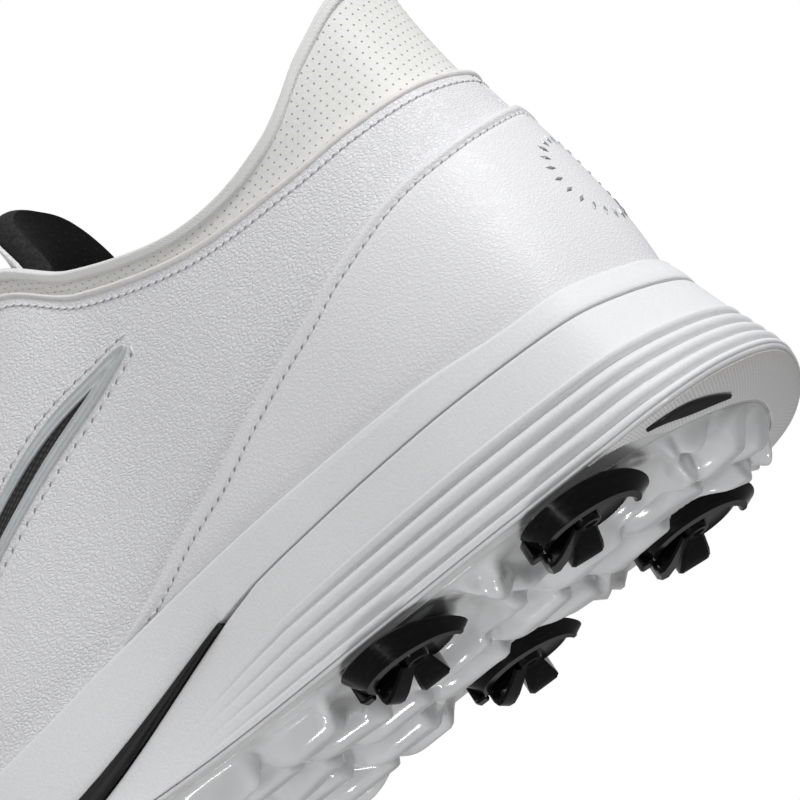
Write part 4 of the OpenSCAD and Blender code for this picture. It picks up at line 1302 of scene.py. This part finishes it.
def make_floor():
    """Pale floor, seen from above only, so that it doesn't hide the sole from below."""
    mesh = bpy.data.meshes.new("floor")
    mesh.from_pydata([(-3, -3, 0), (3, -3, 0), (3, 3, 0), (-3, 3, 0)], [], [(0, 1, 2, 3)])
    look = Look("floor", (0.86, 0.86, 0.86), 0.7)
    look.colour(look.mix(look.noise(look.coords(), 3, 2), (0.84, 0.84, 0.84), (0.87, 0.87, 0.87)))
    clear = look.add("ShaderNodeBsdfTransparent")
    mixed = look.add("ShaderNodeMixShader")
    side = look.add("ShaderNodeNewGeometry")
    look.tree.links.new(side.outputs["Backfacing"], mixed.inputs[0])
    look.tree.links.new(look.shader.outputs[0], mixed.inputs[1])
    look.tree.links.new(clear.outputs[0], mixed.inputs[2])
    look.tree.links.new(mixed.outputs[0], look.tree.nodes["Material Output"].inputs["Surface"])
    mesh.materials.append(look.material)
    floor = bpy.data.objects.new("floor", mesh)
    floor.location.z = -0.0005
    floor.visible_shadow = False
    floor.visible_diffuse = False
    floor.visible_glossy = False
    bpy.context.scene.collection.objects.link(floor)


def add_light(name, place, size, power, target=Vector((0, 0.06, 0.04))):
    data = bpy.data.lights.new(name, "AREA")
    data.energy = power
    data.size = size
    light = bpy.data.objects.new(name, data)
    light.location = place
    light.rotation_mode = "QUATERNION"
    light.rotation_quaternion = (target - Vector(place)).to_track_quat("-Z", "Y")
    bpy.context.scene.collection.objects.link(light)
    return light


def make_lights():
    world = bpy.data.worlds.new("world")
    bpy.context.scene.world = world
    world.use_nodes = True
    tree = world.node_tree
    seen = tree.nodes["Background"]
    seen.inputs["Color"].default_value = (1, 1, 1, 1)
    seen.inputs["Strength"].default_value = 1.0
    around = tree.nodes.new("ShaderNodeBackground")
    around.inputs["Strength"].default_value = 0.5
    place = tree.nodes.new("ShaderNodeTexCoord")
    split = tree.nodes.new("ShaderNodeSeparateXYZ")
    ramp = tree.nodes.new("ShaderNodeMapRange")
    ramp.interpolation_type = "SMOOTHSTEP"
    for socket, value in (("From Min", -0.5), ("From Max", 0.4), ("To Min", 0.25), ("To Max", 1.0)):
        ramp.inputs[socket].default_value = value
    ray = tree.nodes.new("ShaderNodeLightPath")
    mixed = tree.nodes.new("ShaderNodeMixShader")
    tree.links.new(place.outputs["Generated"], split.inputs[0])
    tree.links.new(split.outputs["Z"], ramp.inputs["Value"])
    tree.links.new(ramp.outputs["Result"], around.inputs["Color"])
    tree.links.new(ray.outputs["Is Camera Ray"], mixed.inputs[0])
    tree.links.new(around.outputs[0], mixed.inputs[1])
    tree.links.new(seen.outputs[0], mixed.inputs[2])
    tree.links.new(mixed.outputs[0], tree.nodes["World Output"].inputs["Surface"])
    bpy.context.scene.view_settings.view_transform = "Standard"
    add_light("key", CAMERA_UP * 1.0 + CAMERA_RIGHT * 0.2 + CAMERA_BACK * 0.3, 0.4, 6.2)
    under = add_light("under", CAMERA_BACK * 0.35 - CAMERA_UP * 1.1 + CAMERA_RIGHT * 0.2, 0.5, 6)
    under.visible_glossy = False
    add_light("fill", CAMERA_BACK * 1.2 - CAMERA_RIGHT * 0.5 + CAMERA_UP * 0.2, 0.6, 0.8)
    for i, (back, right, up) in enumerate(((0.75, 0.6, 0.45), (0.7, -0.5, -0.35), (0.55, 0.1, -0.85))):
        add_light(f"glint_{i}", CAMERA_BACK * back + CAMERA_RIGHT * right + CAMERA_UP * up, 0.12, 1.0)


def main():
    make_camera()
    make_lights()
    make_floor()
    make_midsole_upper()
    make_midsole_lower()
    make_shank()
    make_outsole_plate()
    make_tread()
    make_inlay()
    make_spikes()
    make_panels()
    make_windows()
    make_collar()
    make_inside()
    make_tongue()
    make_eyelets()
    make_lace()
    make_stitching()
    make_emblem()
    dress_cad()


main()
